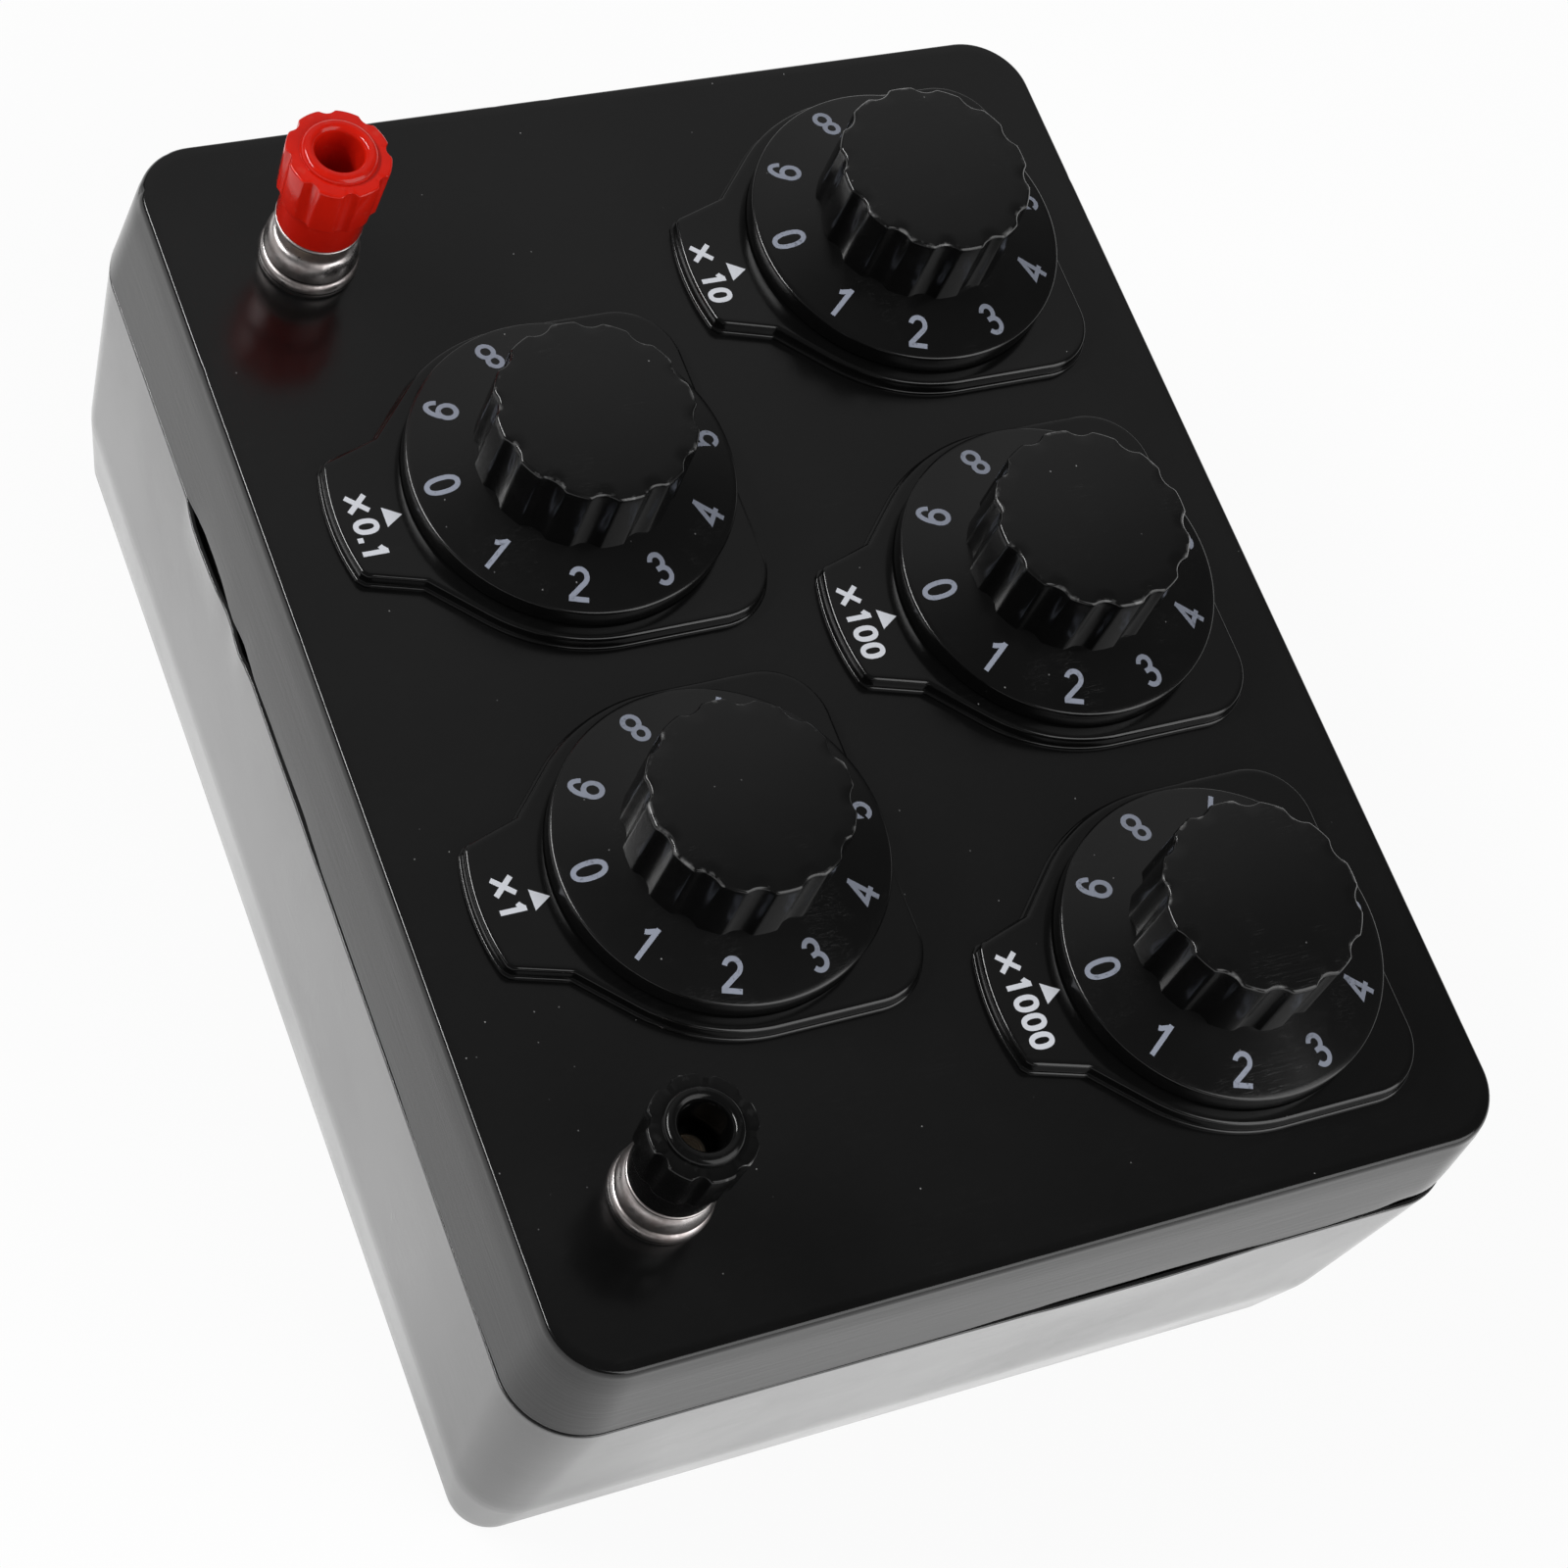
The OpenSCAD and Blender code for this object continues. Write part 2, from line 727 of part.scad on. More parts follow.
// Wound bobbins that hang under a deck, one between each two studs
module resistance_coils() {
    color("darkolivegreen")
        at_positions(stud_circle_r, 0.5, positions - 1) {
            rod(bobbin_r, deck_low_z - bobbin_flange_h, deck_low_z);
            rod(winding_r, deck_low_z - bobbin_l, deck_low_z);
            rod(bobbin_r, deck_low_z - bobbin_l, deck_low_z - bobbin_l + bobbin_flange_h);
        }
}

// What all five dials share
module spindle_bushes() {
    color("khaki")
        for (dial = DIALS)
            on_lid(dial)
                difference() {
                    union() {
                        rod(bush_r, bush_low_z, bush_top_z);
                        rod(bush_flange_r, bush_low_z, -lid_t);
                    }
                    rod(spindle_r + run_clear, bush_low_z - cut, bush_top_z + cut);
                }
}

module bush_nuts() {
    color("silver")
        for (dial = DIALS)
            on_lid(dial)
                hex_nut(bush_nut_af, bush_r + seat_clear, bush_nut_z, bush_nut_z + bush_nut_h);
}

module contact_studs() {
    color("gold")
        for (dial = DIALS)
            on_lid(dial)
                at_positions(stud_circle_r) {
                    rod(stud_head_r, deck_top_z, contact_z);
                    rod(stud_tail_r, tail_z, deck_top_z);
                }
}

module collector_rings() {
    color("gold")
        for (dial = DIALS)
            on_lid(dial)
                tube(ring_out_r, ring_in_r, deck_top_z, contact_z);
}

module deck_screws() {
    color("silver")
        for (dial = DIALS)
            on_lid(dial)
                at_bosses() {
                    rod(deck_screw_r, deck_low_z, deck_top_z + deck_screw_bite);
                    rod(deck_screw_head_r, deck_low_z - deck_screw_head_h, deck_low_z);
                }
}

// The binding posts
module post_collars() {
    barrel_low_z = collar_flange_h + collar_groove_h;
    core_r = collar_barrel_r - collar_round_r;
    color("gainsboro")
        for (post = POSTS)
            on_lid(post)
                difference() {
                    union() {
                        rod(collar_flange_r, 0, collar_flange_h);
                        rod(collar_groove_r, 0, barrel_low_z);
                        rod(collar_barrel_r, barrel_low_z, collar_shoulder_z);
                        rod(core_r, barrel_low_z, collar_top_z);
                        rotate_extrude($fn = 96)
                            intersection() {
                                translate([core_r, collar_shoulder_z])
                                    circle(r = collar_round_r);
                                translate([core_r, collar_shoulder_z])
                                    square(collar_round_r);
                            }
                    }
                    rod(post_stud_r + seat_clear, -cut, collar_top_z + cut);
                }
}

module post_stud() {
    edge_z = post_stud_top - post_stud_edge;
    color("khaki") {
        rod(post_stud_r, post_low_z, edge_z);
        translate([0, 0, edge_z])
            cylinder(r1 = post_stud_r, r2 = post_stud_r - post_stud_edge, h = post_stud_edge);
    }
}

module post_nuts() {
    color("silver")
        for (post = POSTS)
            on_lid(post)
                hex_nut(post_nut_af, post_stud_r + seat_clear, -lid_t - lug_t - post_nut_h, -lid_t - lug_t);
}

// Direction from a post to the dial that it feeds
function lug_angle(post) =
    let (dial = post[1] < 0 ? TENTHS : UNITS) atan2(dial[2] - post[2], dial[1] - post[1]);

module solder_lugs() {
    color("gold")
        for (post = POSTS)
            on_lid(post)
                translate([0, 0, -lid_t - lug_t])
                    difference() {
                        union() {
                            cylinder(r = lug_r, h = lug_t);
                            rotate(lug_angle(post))
                                translate([0, -lug_w / 2, 0])
                                    cube([lug_reach, lug_w, lug_t]);
                        }
                        translate([0, 0, -cut])
                            cylinder(r = post_stud_r + seat_clear, h = lug_t + 2 * cut);
                    }
}

module clamp_washer() {
    color("gainsboro")
        tube(washer_r, post_stud_r + 2 * run_clear, collar_top_z, cap_foot_z);
}

module cap_insert() {
    color("khaki")
        tube(insert_r, post_stud_r + run_clear, cap_foot_z, cap_foot_z + insert_l);
}

module post_cap(colour) {
    flute_axis_r = cap_rib_r - cap_flute_depth + cap_flute_r;
    ledge_top = insert_l + cap_ledge_t;
    ring_r = cap_mouth_r + cap_ring_t / 2;
    color(colour)
        translate([0, 0, cap_foot_z])
            difference() {
                union() {
                    rod(cap_skirt_r, 0, cap_face_h);
                    difference() {
                        translate([0, 0, cap_skirt_h])
                            cylinder(r1 = cap_rib_low_r, r2 = cap_rib_r, h = cap_rib_h);
                        for (i = [0 : cap_ribs - 1])
                            rotate((i + 0.5) * 360 / cap_ribs)
                                translate([flute_axis_r, 0, 0])
                                    rod(cap_flute_r, cap_skirt_h - cut, cap_face_h + cut);
                    }
                    rotate_extrude()
                        translate([ring_r, cap_face_h])
                            circle(r = cap_ring_t / 2);
                }
                rod(insert_r + seat_clear, -cut, insert_l);
                rod(post_stud_r + 2 * run_clear, insert_l - cut, ledge_top + cut);
                rod(cap_mouth_r, ledge_top, cap_face_h + cap_ring_t);
            }
}

// Wires inside the case, from post to post through the five switches in turn
wire_z = case_h + tail_z - wire_r;
wire_out_r = deck_r - stud_tail_r;

wire_in_r = stud_circle_r - stud_tail_r;
// A point at wire height, out from a dial's axis towards one of its studs
function by_stud(dial, i, radius) =
    [dial[1] + radius * cos(position_angle(i)), dial[2] + radius * sin(position_angle(i)), wire_z];
function tail_end(dial, i) = by_stud(dial, i, wire_in_r);
function clear_of(dial, i) = by_stud(dial, i, wire_out_r);

module deck_link(from, from_stud, to, to_stud) {
    wire([tail_end(from, from_stud), clear_of(from, from_stud), clear_of(to, to_stud), tail_end(to, to_stud)]);
}

module post_link(post, dial, stud) {
    reach = lug_reach - lug_w / 2;
    tip = [post[1] + reach * cos(lug_angle(post)), post[2] + reach * sin(lug_angle(post))];
    lug_z = lid_under_z - lug_t;
    wire([[tip[0], tip[1], lug_z], [tip[0], tip[1], wire_z], clear_of(dial, stud), tail_end(dial, stud)]);
}

module link_wires() {
    color("crimson") {
        post_link(POSTS[0], TENTHS, 8);
        deck_link(TENTHS, 6, TENS, 1);
        deck_link(TENS, 3, HUNDREDS, 7);
        deck_link(HUNDREDS, 3, THOUSANDS, 7);
        deck_link(THOUSANDS, 9, UNITS, 4);
        post_link(POSTS[1], UNITS, 2);
    }
}

base_case();
lid();
case_screws();
for (dial = DIALS) {
    on_lid(dial) dial_plate();
    on_lid(dial) dial_knob();
    on_lid(dial) dial_spindle();
    on_lid(dial) dial_wiper();
    on_lid(dial) detent_wheel();
    on_lid(dial) detent_spring();
    on_lid(dial) switch_deck();
    on_lid(dial) resistance_coils();
}
spindle_bushes();
bush_nuts();
contact_studs();
collector_rings();
deck_screws();
for (i = [0, 1]) {
    post = POSTS[i];
    on_lid(post) post_stud();
    turn = 360 * post[3] / post_pitch;
    translate([0, 0, post[3]]) {
        on_lid(post) rotate(turn) post_cap(POST_COLOURS[i]);
        on_lid(post) cap_insert();
        on_lid(post) clamp_washer();
    }
}
post_collars();
post_nuts();
solder_lugs();
link_wires();
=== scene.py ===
# Looks of the five-decade resistance box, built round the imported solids.
# Pieces are written in millimetres in the solids' own frame: +X along the long side,
# +Y away from the user, +Z up, origin at the middle of the underside.
import json
import math

import bmesh
import bpy
from mathutils import Matrix, Vector, noise


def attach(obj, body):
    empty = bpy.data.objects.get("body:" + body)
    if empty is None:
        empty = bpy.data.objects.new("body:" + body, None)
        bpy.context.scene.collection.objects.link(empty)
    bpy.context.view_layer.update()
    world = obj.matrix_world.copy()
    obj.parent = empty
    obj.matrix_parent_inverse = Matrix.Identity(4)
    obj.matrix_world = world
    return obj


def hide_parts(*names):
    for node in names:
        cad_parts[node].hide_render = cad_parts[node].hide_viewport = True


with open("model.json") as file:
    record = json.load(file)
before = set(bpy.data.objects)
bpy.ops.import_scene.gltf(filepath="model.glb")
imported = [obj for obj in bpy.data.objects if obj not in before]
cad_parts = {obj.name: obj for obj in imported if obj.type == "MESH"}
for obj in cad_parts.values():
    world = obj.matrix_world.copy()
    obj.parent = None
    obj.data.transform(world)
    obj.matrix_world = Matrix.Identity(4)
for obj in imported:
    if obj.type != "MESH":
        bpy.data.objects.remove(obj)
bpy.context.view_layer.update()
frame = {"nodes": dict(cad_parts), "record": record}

MM = 0.001
TAU = 2 * math.pi

# The solids' sizes, with the lid's edge and the caps' flutes refined
LID_L, LID_W, CORNER_R = 180.0, 135.5, 9.0
CASE_H, RIM_H, RIM_FLARE = 69.4, 18.6, 1.45
SEAM_Z = CASE_H - RIM_H
SEAM_GAP = 0.3
BASE_DRAW, FOOT_BAND_H, FOOT_BAND_DRAW = 2.3, 14.8, 2.5
LID_EDGE_R, FOOT_EDGE_R = 0.75, 1.2
WALL, LID_T, FLOOR_T = 2.8, 3.0, 3.0
COLUMN_X, COLUMN_Y = LID_L / 2 - 12.5, LID_W / 2 - 12.5
PLATE_R, PLATE_FAR, PLATE_CORNER_R, PLATE_H = 24.4, 22.8, 8.3, 2.2
TAB_R, TAB_NECK, TAB_DRAW = 32.6, 11.1, 2.4
PLATE_FOOT, PLATE_FOOT_H = 0.4, 0.5
SKIRT_R, SKIRT_LOW, SKIRT_EDGE = 22.5, 2.6, 5.6
GRIP_R, GRIP_LOW, GRIP_TOP, GRIP_DOME = 13.7, 7.6, 19.1, 0.6
FLUTES, FLUTE_R, FLUTE_DEPTH, FLUTE_SOFT = 12, 2.9, 0.75, 0.22
HOLLOW_TOP, SPINDLE_R, SPINDLE_TOP = 5.2, 3.0, 15.2
STUD_R, STUD_LOW, STUD_TOP, THREAD_PITCH = 2.45, -9.8, 12.7, 0.8
COLLAR_FLANGE_R, COLLAR_FLANGE_H, COLLAR_GROOVE_R, COLLAR_GROOVE_H = 6.8, 1.4, 5.9, 0.5
COLLAR_R, COLLAR_ROUND_R, COLLAR_TOP = 6.45, 1.35, 5.25
WASHER_R, WASHER_T = 5.9, 0.6
CAP_FOOT = COLLAR_TOP + WASHER_T
CAP_SKIRT_R, CAP_SKIRT_H, CAP_FACE_H = 5.85, 5.6, 14.1
RIBS, RIB_LOW_R, RIB_R = 8, 6.75, 7.05
CAP_FLUTE_R, CAP_FLUTE_AXIS, CAP_FLUTE_SOFT = 1.25, 7.6, 0.5
CAP_MOUTH_R, CAP_RING_MID, CAP_RING_R = 3.25, 4.2, 0.95
INSERT_R, INSERT_L, LEDGE_T, LEDGE_HOLE_R = 4.4, 5.0, 1.2, 2.55
# Axis of each dial, its multiplier, and where its pointer's foot and its text stand from the axis
DIALS = {
    "tenths": (-28.5, -25.7, "x0.1", (0.86, -26.05), (-3.16, -30.6)),
    "units": (28.5, -25.7, "x1", (0.43, -25.47), (-3.61, -30.03)),
    "tens": (-57.0, 35.6, "x 10", (1.06, -26.9), (-3.99, -31.43)),
    "hundreds": (0.0, 35.6, "x100", (0.55, -26.4), (-5.22, -30.95)),
    "thousands": (57.0, 35.6, "x1000", (-0.06, -25.67), (-6.72, -30.26)),
}
# Axis of each post and how far its cap is screwed up from the collar
POSTS = {"red": (-70.3, -47.85, 2.44), "black": (68.9, -47.85, 0.0)}


# Meshes
def new_object(name, points, faces, smooth_angle=None):
    """A mesh object from points in millimetres."""
    mesh = bpy.data.meshes.new(name)
    mesh.from_pydata([Vector(p) * MM for p in points], [], faces)
    mesh.validate()
    clean_mesh(mesh)
    obj = bpy.data.objects.new(name, mesh)
    bpy.context.scene.collection.objects.link(obj)
    if smooth_angle is not None:
        mesh.shade_smooth()
        mesh.set_sharp_from_angle(angle=math.radians(smooth_angle))
    return obj


def clean_mesh(mesh):
    """Joins doubled points and turns every face outwards."""
    bm = bmesh.new()
    bm.from_mesh(mesh)
    bmesh.ops.remove_doubles(bm, verts=bm.verts, dist=1e-7)
    bmesh.ops.recalc_face_normals(bm, faces=bm.faces)
    bm.to_mesh(mesh)
    bm.free()


def combine(whole, part, operation):
    """Joins a part to a mesh object or cuts it out, and deletes the part."""
    change = whole.modifiers.new("change", "BOOLEAN")
    change.operation = operation
    change.solver = "EXACT"
    change.object = part
    bpy.context.view_layer.update()
    seen = whole.evaluated_get(bpy.context.evaluated_depsgraph_get())
    done = bpy.data.meshes.new_from_object(seen)
    whole.modifiers.clear()
    whole.data = done
    bpy.data.objects.remove(part)


def ring_faces(rings, count, close_rings=False):
    """Quads between rings of count points each."""
    faces = []
    pairs = [(i, i + 1) for i in range(rings - 1)]
    if close_rings:
        pairs.append((rings - 1, 0))
    for a, b in pairs:
        for j in range(count):
            k = (j + 1) % count
            faces.append((a * count + j, a * count + k, b * count + k, b * count + j))
    return faces


def stacked(name, rings, smooth_angle=35, closed=False):
    """A body from rings of points; open stacks are capped at both ends."""
    count = len(rings[0])
    points = [p for ring in rings for p in ring]
    faces = ring_faces(len(rings), count, closed)
    if not closed:
        faces.append(tuple(range(count - 1, -1, -1)))
        last = (len(rings) - 1) * count
        faces.append(tuple(range(last, last + count)))
    return new_object(name, points, faces, smooth_angle)


def rounded(corners, closed=False, steps=5):
    """A profile from (x, z, radius) corners, with each corner rounded."""
    out = []
    n = len(corners)
    for i, (x, z, radius) in enumerate(corners):
        here = Vector((x, z))
        ends = not closed and i in (0, n - 1)
        if radius <= 0 or ends:
            out.append((x, z))
            continue
        before = Vector(corners[i - 1][:2]) - here
        after = Vector(corners[(i + 1) % n][:2]) - here
        half = before.angle(after) / 2
        reach = radius / math.tan(half)
        start = here + before.normalized() * reach
        end = here + after.normalized() * reach
        inwards = (before.normalized() + after.normalized()).normalized()
        middle = here + inwards * (radius / math.sin(half))
        u, v = start - middle, end - middle
        turn = u.angle_signed(v)
        for k in range(steps + 1):
            p = middle + Matrix.Rotation(-turn * k / steps, 2) @ u
            out.append((p.x, p.y))
    return out


def lathe(name, profile, segments=96, closed=True, radius=None, smooth_angle=35, at=(0, 0, 0)):
    """A turned body; radius(r, z, angle) may shape it round the axis."""
    rings = []
    for r, z in profile:
        ring = []
        for j in range(segments):
            a = TAU * j / segments
            q = radius(r, z, a) if radius else r
            ring.append((at[0] + q * math.cos(a), at[1] + q * math.sin(a), at[2] + z))
        rings.append(ring)
    return stacked(name, rings, smooth_angle, closed)


def place(obj, body, slot, material, *nodes):
    """Rides a piece on its body and gives it its finish."""
    obj.data.materials.clear()
    obj.data.materials.append(material)
    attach(obj, body)
    if nodes:
        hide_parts(*nodes)
    return obj


# Materials
class Nodes:
    """Short names for the nodes of one material or world."""

    def __init__(self, block):
        block.use_nodes = True
        self.block, self.tree = block, block.node_tree
        self.shader = self.tree.nodes.get("Principled BSDF")

    def give(self, socket, value):
        """Links an output to an input, or sets the input to a plain value."""
        if isinstance(value, bpy.types.NodeSocket):
            self.tree.links.new(value, socket)
        else:
            socket.default_value = value

    def set(self, **values):
        """Gives the shader's inputs, with _ for each space in their names."""
        for key, value in values.items():
            self.give(self.shader.inputs[key.replace("_", " ")], value)

    def add(self, kind, **values):
        """A node, with its inputs and settings given by name."""
        node = self.tree.nodes.new(kind)
        for key, value in values.items():
            if key in node.inputs:
                self.give(node.inputs[key], value)
            else:
                setattr(node, key, value)
        return node

    def filled(self, kind, operation, *values):
        """The outputs of a node for maths, with its inputs filled in order."""
        node = self.add(kind, operation=operation)
        for socket, value in zip(node.inputs, values):
            self.give(socket, value)
        return node.outputs

    def maths(self, operation, a, b):
        return self.filled("ShaderNodeMath", operation, a, b)["Value"]

    def vector_maths(self, operation, *values):
        return self.filled("ShaderNodeVectorMath", operation, *values)

    def height(self, vector):
        return self.add("ShaderNodeSeparateXYZ", Vector=vector).outputs["Z"]

    def coords(self, scale=(1, 1, 1), rotation=(0, 0, 0), per_object=0.0):
        """Object coordinates in metres, scaled; per_object shifts each object's copy."""
        source = self.add("ShaderNodeTexCoord").outputs["Object"]
        if per_object:
            spot = self.add("ShaderNodeObjectInfo").outputs["Location"]
            source = self.vector_maths("MULTIPLY_ADD", spot, (per_object,) * 3, source)["Vector"]
        mapping = self.add("ShaderNodeMapping", Vector=source, Scale=scale, Rotation=rotation)
        return mapping.outputs["Vector"]

    def noise(self, vector, scale, detail=3.0, roughness=0.55):
        node = self.add(
            "ShaderNodeTexNoise", Vector=vector, Scale=scale, Detail=detail, Roughness=roughness)
        return node.outputs["Fac"]

    def remap(self, value, low, high, out_low=0.0, out_high=1.0, ease="LINEAR"):
        """A value moved from one range to another and held at its ends."""
        node = self.add("ShaderNodeMapRange", interpolation_type=ease, Value=value)
        for socket, level in zip(node.inputs[1:], (low, high, out_low, out_high)):
            socket.default_value = level
        return node.outputs["Result"]

    def mix(self, factor, a, b):
        """A colour between a and b, each a colour or a socket."""
        node = self.add("ShaderNodeMix", data_type="RGBA", Factor=factor)
        self.give(node.inputs[6], a)
        self.give(node.inputs[7], b)
        return node.outputs[2]

    def bump(self, height, strength, distance, normal=None):
        node = self.add("ShaderNodeBump", Strength=strength, Distance=distance, Height=height)
        if normal is not None:
            self.give(node.inputs["Normal"], normal)
        return node.outputs["Normal"]

    def specks(self, vector, scale, size, share):
        """Small round dust specks on upward faces, on a share of the cells of a scattered grid."""
        cell = self.add(
            "ShaderNodeTexVoronoi", voronoi_dimensions="2D", Scale=scale, Randomness=1.0, Vector=vector)
        dot = self.remap(cell.outputs["Distance"], size * 0.6, size, 1.0, 0.0)
        split = self.add("ShaderNodeSeparateColor", Color=cell.outputs["Color"])
        chosen = self.maths("LESS_THAN", split.outputs["Red"], share)
        fade = self.maths("MULTIPLY", chosen, split.outputs["Green"])
        facing = self.height(self.add("ShaderNodeNewGeometry").outputs["Normal"])
        fade = self.maths("MULTIPLY", fade, self.maths("GREATER_THAN", facing, 0.9))
        return self.maths("MULTIPLY", dot, fade)

    def contour(self, field, width):
        """Lines where a noise crosses its middle value."""
        off = self.maths("ABSOLUTE", self.maths("SUBTRACT", field, 0.5), 0.0)
        return self.remap(off, 0.0, width, 1.0, 0.0)

    def scratches(self, angle, scale, width, share, stretch=60.0, per_object=0.0):
        """Fine straight scratches along one direction."""
        vector = self.coords((stretch, 1.0, stretch), (0, 0, angle), per_object)
        line = self.contour(self.noise(vector, scale, 2.0, 0.5), width)
        where = self.noise(self.coords(per_object=per_object), scale * 1.7, 2.0)
        return self.maths("MULTIPLY", line, self.remap(where, share, share + 0.08))

    def near(self, vector, far_value, near_value, spot, reach):
        """A value that changes within reach, in millimetres, of a spot."""
        gap = self.vector_maths("DISTANCE", vector, Vector(spot) * MM)["Value"]
        return self.remap(gap, 0.3 * reach * MM, reach * MM, near_value, far_value)

    def band(self, heights):
        """One between two heights of the object, in millimetres, and nought beyond them."""
        z = self.height(self.add("ShaderNodeTexCoord").outputs["Object"])
        low, high = (h * MM for h in heights)
        soft = (high - low) * 0.25
        above = self.remap(z, low, low + soft)
        below = self.remap(z, high - soft, high, 1.0, 0.0)
        return self.maths("MULTIPLY", above, below)

    def rubbed(self, heights, vector):
        """Broken pale lines where an edge between two heights is rubbed."""
        worn = self.remap(self.noise(vector, 420, 3.0), 0.54, 0.66)
        return self.maths("MULTIPLY", self.band(heights), worn)


PLASTIC_IOR = 1.5


def new_nodes(name):
    return Nodes(bpy.data.materials.new(name))


def rgb(value, green=None, blue=None):
    """A colour with full cover; one value alone makes a grey."""
    if green is None:
        return (value, value, value, 1.0)
    return (value, green, blue, 1.0)


def black_plastic(name, base, rough, coat=0.0, per_object=0.0, streak=None, smudge=0.12, wear=0.3,
                  dust=0.35, dusty=0.05, grain=0.06, edge=None, upright=0.0):
    """Moulded black plastic with smudges, fine scratches, a little dust and rubbed edges.

    dusty is the share of cells with a speck, or what Nodes.near takes; streak stretches the
    ripple of the walls, edge gives the heights of a rubbed edge, and upright adds hair scratches.
    """
    n = new_nodes(name)
    where = n.coords(per_object=per_object)
    patches = n.remap(n.noise(where, 28, 4.0, 0.6), 0.35, 0.7)
    fine = n.noise(where, 900, 2.0)
    lines = n.scratches(angle=0.6, scale=55, width=0.006, share=0.56, per_object=per_object)
    cross = n.scratches(angle=2.3, scale=70, width=0.005, share=0.58, per_object=per_object)
    marks = n.maths("MULTIPLY", n.maths("MAXIMUM", lines, cross), wear)
    share = n.near(where, *dusty) if isinstance(dusty, tuple) else dusty
    specks = n.specks(where, scale=260, size=0.032, share=share)
    tint = n.mix(patches, rgb(base), rgb(base * 1.5))
    tint = n.mix(marks, tint, rgb(0.10))
    if edge:
        tint = n.mix(n.rubbed(edge, where), tint, rgb(0.16))
    tint = n.mix(n.maths("MULTIPLY", specks, 0.8), tint, rgb(dust))
    uneven = n.maths("MULTIPLY", patches, smudge)
    gloss = n.maths("ADD", n.maths("ADD", uneven, rough), n.maths("MULTIPLY", marks, 0.3))
    gloss = n.maths("ADD", gloss, n.maths("MULTIPLY", specks, 0.5))
    normal = n.bump(fine, grain, 0.0001)
    if streak:
        along_wall = n.noise(n.coords(streak, per_object=per_object), 60, 3.0)
        normal = n.bump(along_wall, 0.10, 0.0002, normal)
    normal = n.bump(marks, 0.3, 0.00005, normal)
    if upright:
        line = n.contour(n.noise(n.coords((30, 30, 1)), 26, 2.0, 0.5), 0.012)
        hairs = n.maths("MULTIPLY", line, n.remap(n.noise(where, 40, 3.0), 0.5, 0.62))
        normal = n.bump(hairs, upright, 0.0001, normal)
    n.set(Base_Color=tint, Roughness=gloss, Normal=normal)
    n.set(IOR=PLASTIC_IOR, Specular_IOR_Level=0.5, Coat_Weight=coat, Coat_Roughness=0.08)
    return n.block


def metal(name, colour, dark, rough, scale=180.0, groove_shade=None):
    """Plated or turned metal with tarnish and fine marks; painted shade darkens a groove between two
    heights.
    """
    n = new_nodes(name)
    where = n.coords()
    stain = n.remap(n.noise(where, scale, 4.0, 0.65), 0.4, 0.66)
    tint = n.mix(stain, colour, dark)
    if groove_shade:
        # Painted shade: the groove between the given heights is coloured nearly black
        tint = n.mix(n.band(groove_shade), tint, rgb(0.02))
    grain = n.noise(where, scale * 6, 2.0)
    ground = n.remap(grain, 0.3, 0.7, rough, rough + 0.08)
    gloss = n.maths("ADD", n.maths("MULTIPLY", stain, 0.2), ground)
    n.set(Base_Color=tint, Roughness=gloss, Normal=n.bump(grain, 0.12, 0.00005), Metallic=1.0)
    return n.block


def coloured_plastic(name, colour, dark, rough, mark, level, edge=None):
    """Glossy coloured moulding with rubbed edges and small marks."""
    n = new_nodes(name)
    where = n.coords()
    patches = n.remap(n.noise(where, 140, 4.0, 0.6), 0.35, 0.7)
    tint = n.mix(patches, colour, dark)
    rub = n.remap(n.noise(where, 600, 3.0), 0.62, 0.72)
    tint = n.mix(n.maths("MULTIPLY", rub, 0.25), tint, mark)
    if edge:
        tint = n.mix(n.rubbed(edge, where), tint, rgb(0.2))
    gloss = n.maths("ADD", n.maths("MULTIPLY", patches, 0.12), rough)
    normal = n.bump(n.noise(where, 700, 2.0), 0.08, 0.0001)
    n.set(Base_Color=tint, Roughness=gloss, Normal=normal)
    n.set(IOR=PLASTIC_IOR, Specular_IOR_Level=level)
    return n.block


def print_ink(name, colour, worn, cover):
    """Printed figures: grainy ink, thin in places."""
    n = new_nodes(name)
    where = n.coords()
    grain = n.noise(where, 2600, 2.0, 0.7)
    thin = n.noise(where, 320, 3.0)
    both = n.maths("ADD", n.maths("MULTIPLY", grain, 0.6), n.maths("MULTIPLY", thin, 0.4))
    tint = n.mix(n.remap(both, cover, cover + 0.14), colour, worn)
    n.set(Base_Color=tint, Roughness=n.remap(grain, 0.3, 0.7, 0.4, 0.6), Specular_IOR_Level=0.4)
    return n.block


def inner_material(name, colour, dark, rough, scale, metallic):
    """What lies inside the case: a plain finish with some variation."""
    n = new_nodes(name)
    where = n.coords()
    patches = n.remap(n.noise(where, scale, 3.0), 0.35, 0.7)
    gloss = n.remap(n.noise(where, scale * 4, 2.0), 0.3, 0.7, rough, rough + 0.15)
    n.set(Base_Color=n.mix(patches, colour, dark), Roughness=gloss, Metallic=metallic)
    return n.block


BLACK = 0.003
WALL_STREAK = (1, 1, 30)
# Dust lies thickest by the black post: share of specks elsewhere and there, spot and reach
POST_DUST = (0.03, 0.3, (62.0, -55.0, CASE_H), 26.0)
LID_PLASTIC = black_plastic(
    "lid_plastic", BLACK, 0.15, streak=WALL_STREAK, smudge=0.05, wear=0.06, dust=0.32, dusty=POST_DUST)
BASE_PLASTIC = black_plastic(
    "base_plastic", 0.02, 0.15, coat=0.5, streak=WALL_STREAK, wear=0.2, upright=0.25)
PLATE_PLASTIC = black_plastic(
    "plate_plastic", BLACK, 0.12, per_object=7.0, smudge=0.06, wear=0.1, grain=0.02)
KNOB_PLASTIC = black_plastic(
    "knob_plastic", BLACK, 0.15, per_object=11.0, smudge=0.08, wear=0.2, grain=0.03,
    edge=(GRIP_TOP - 0.3, GRIP_TOP + 0.02))
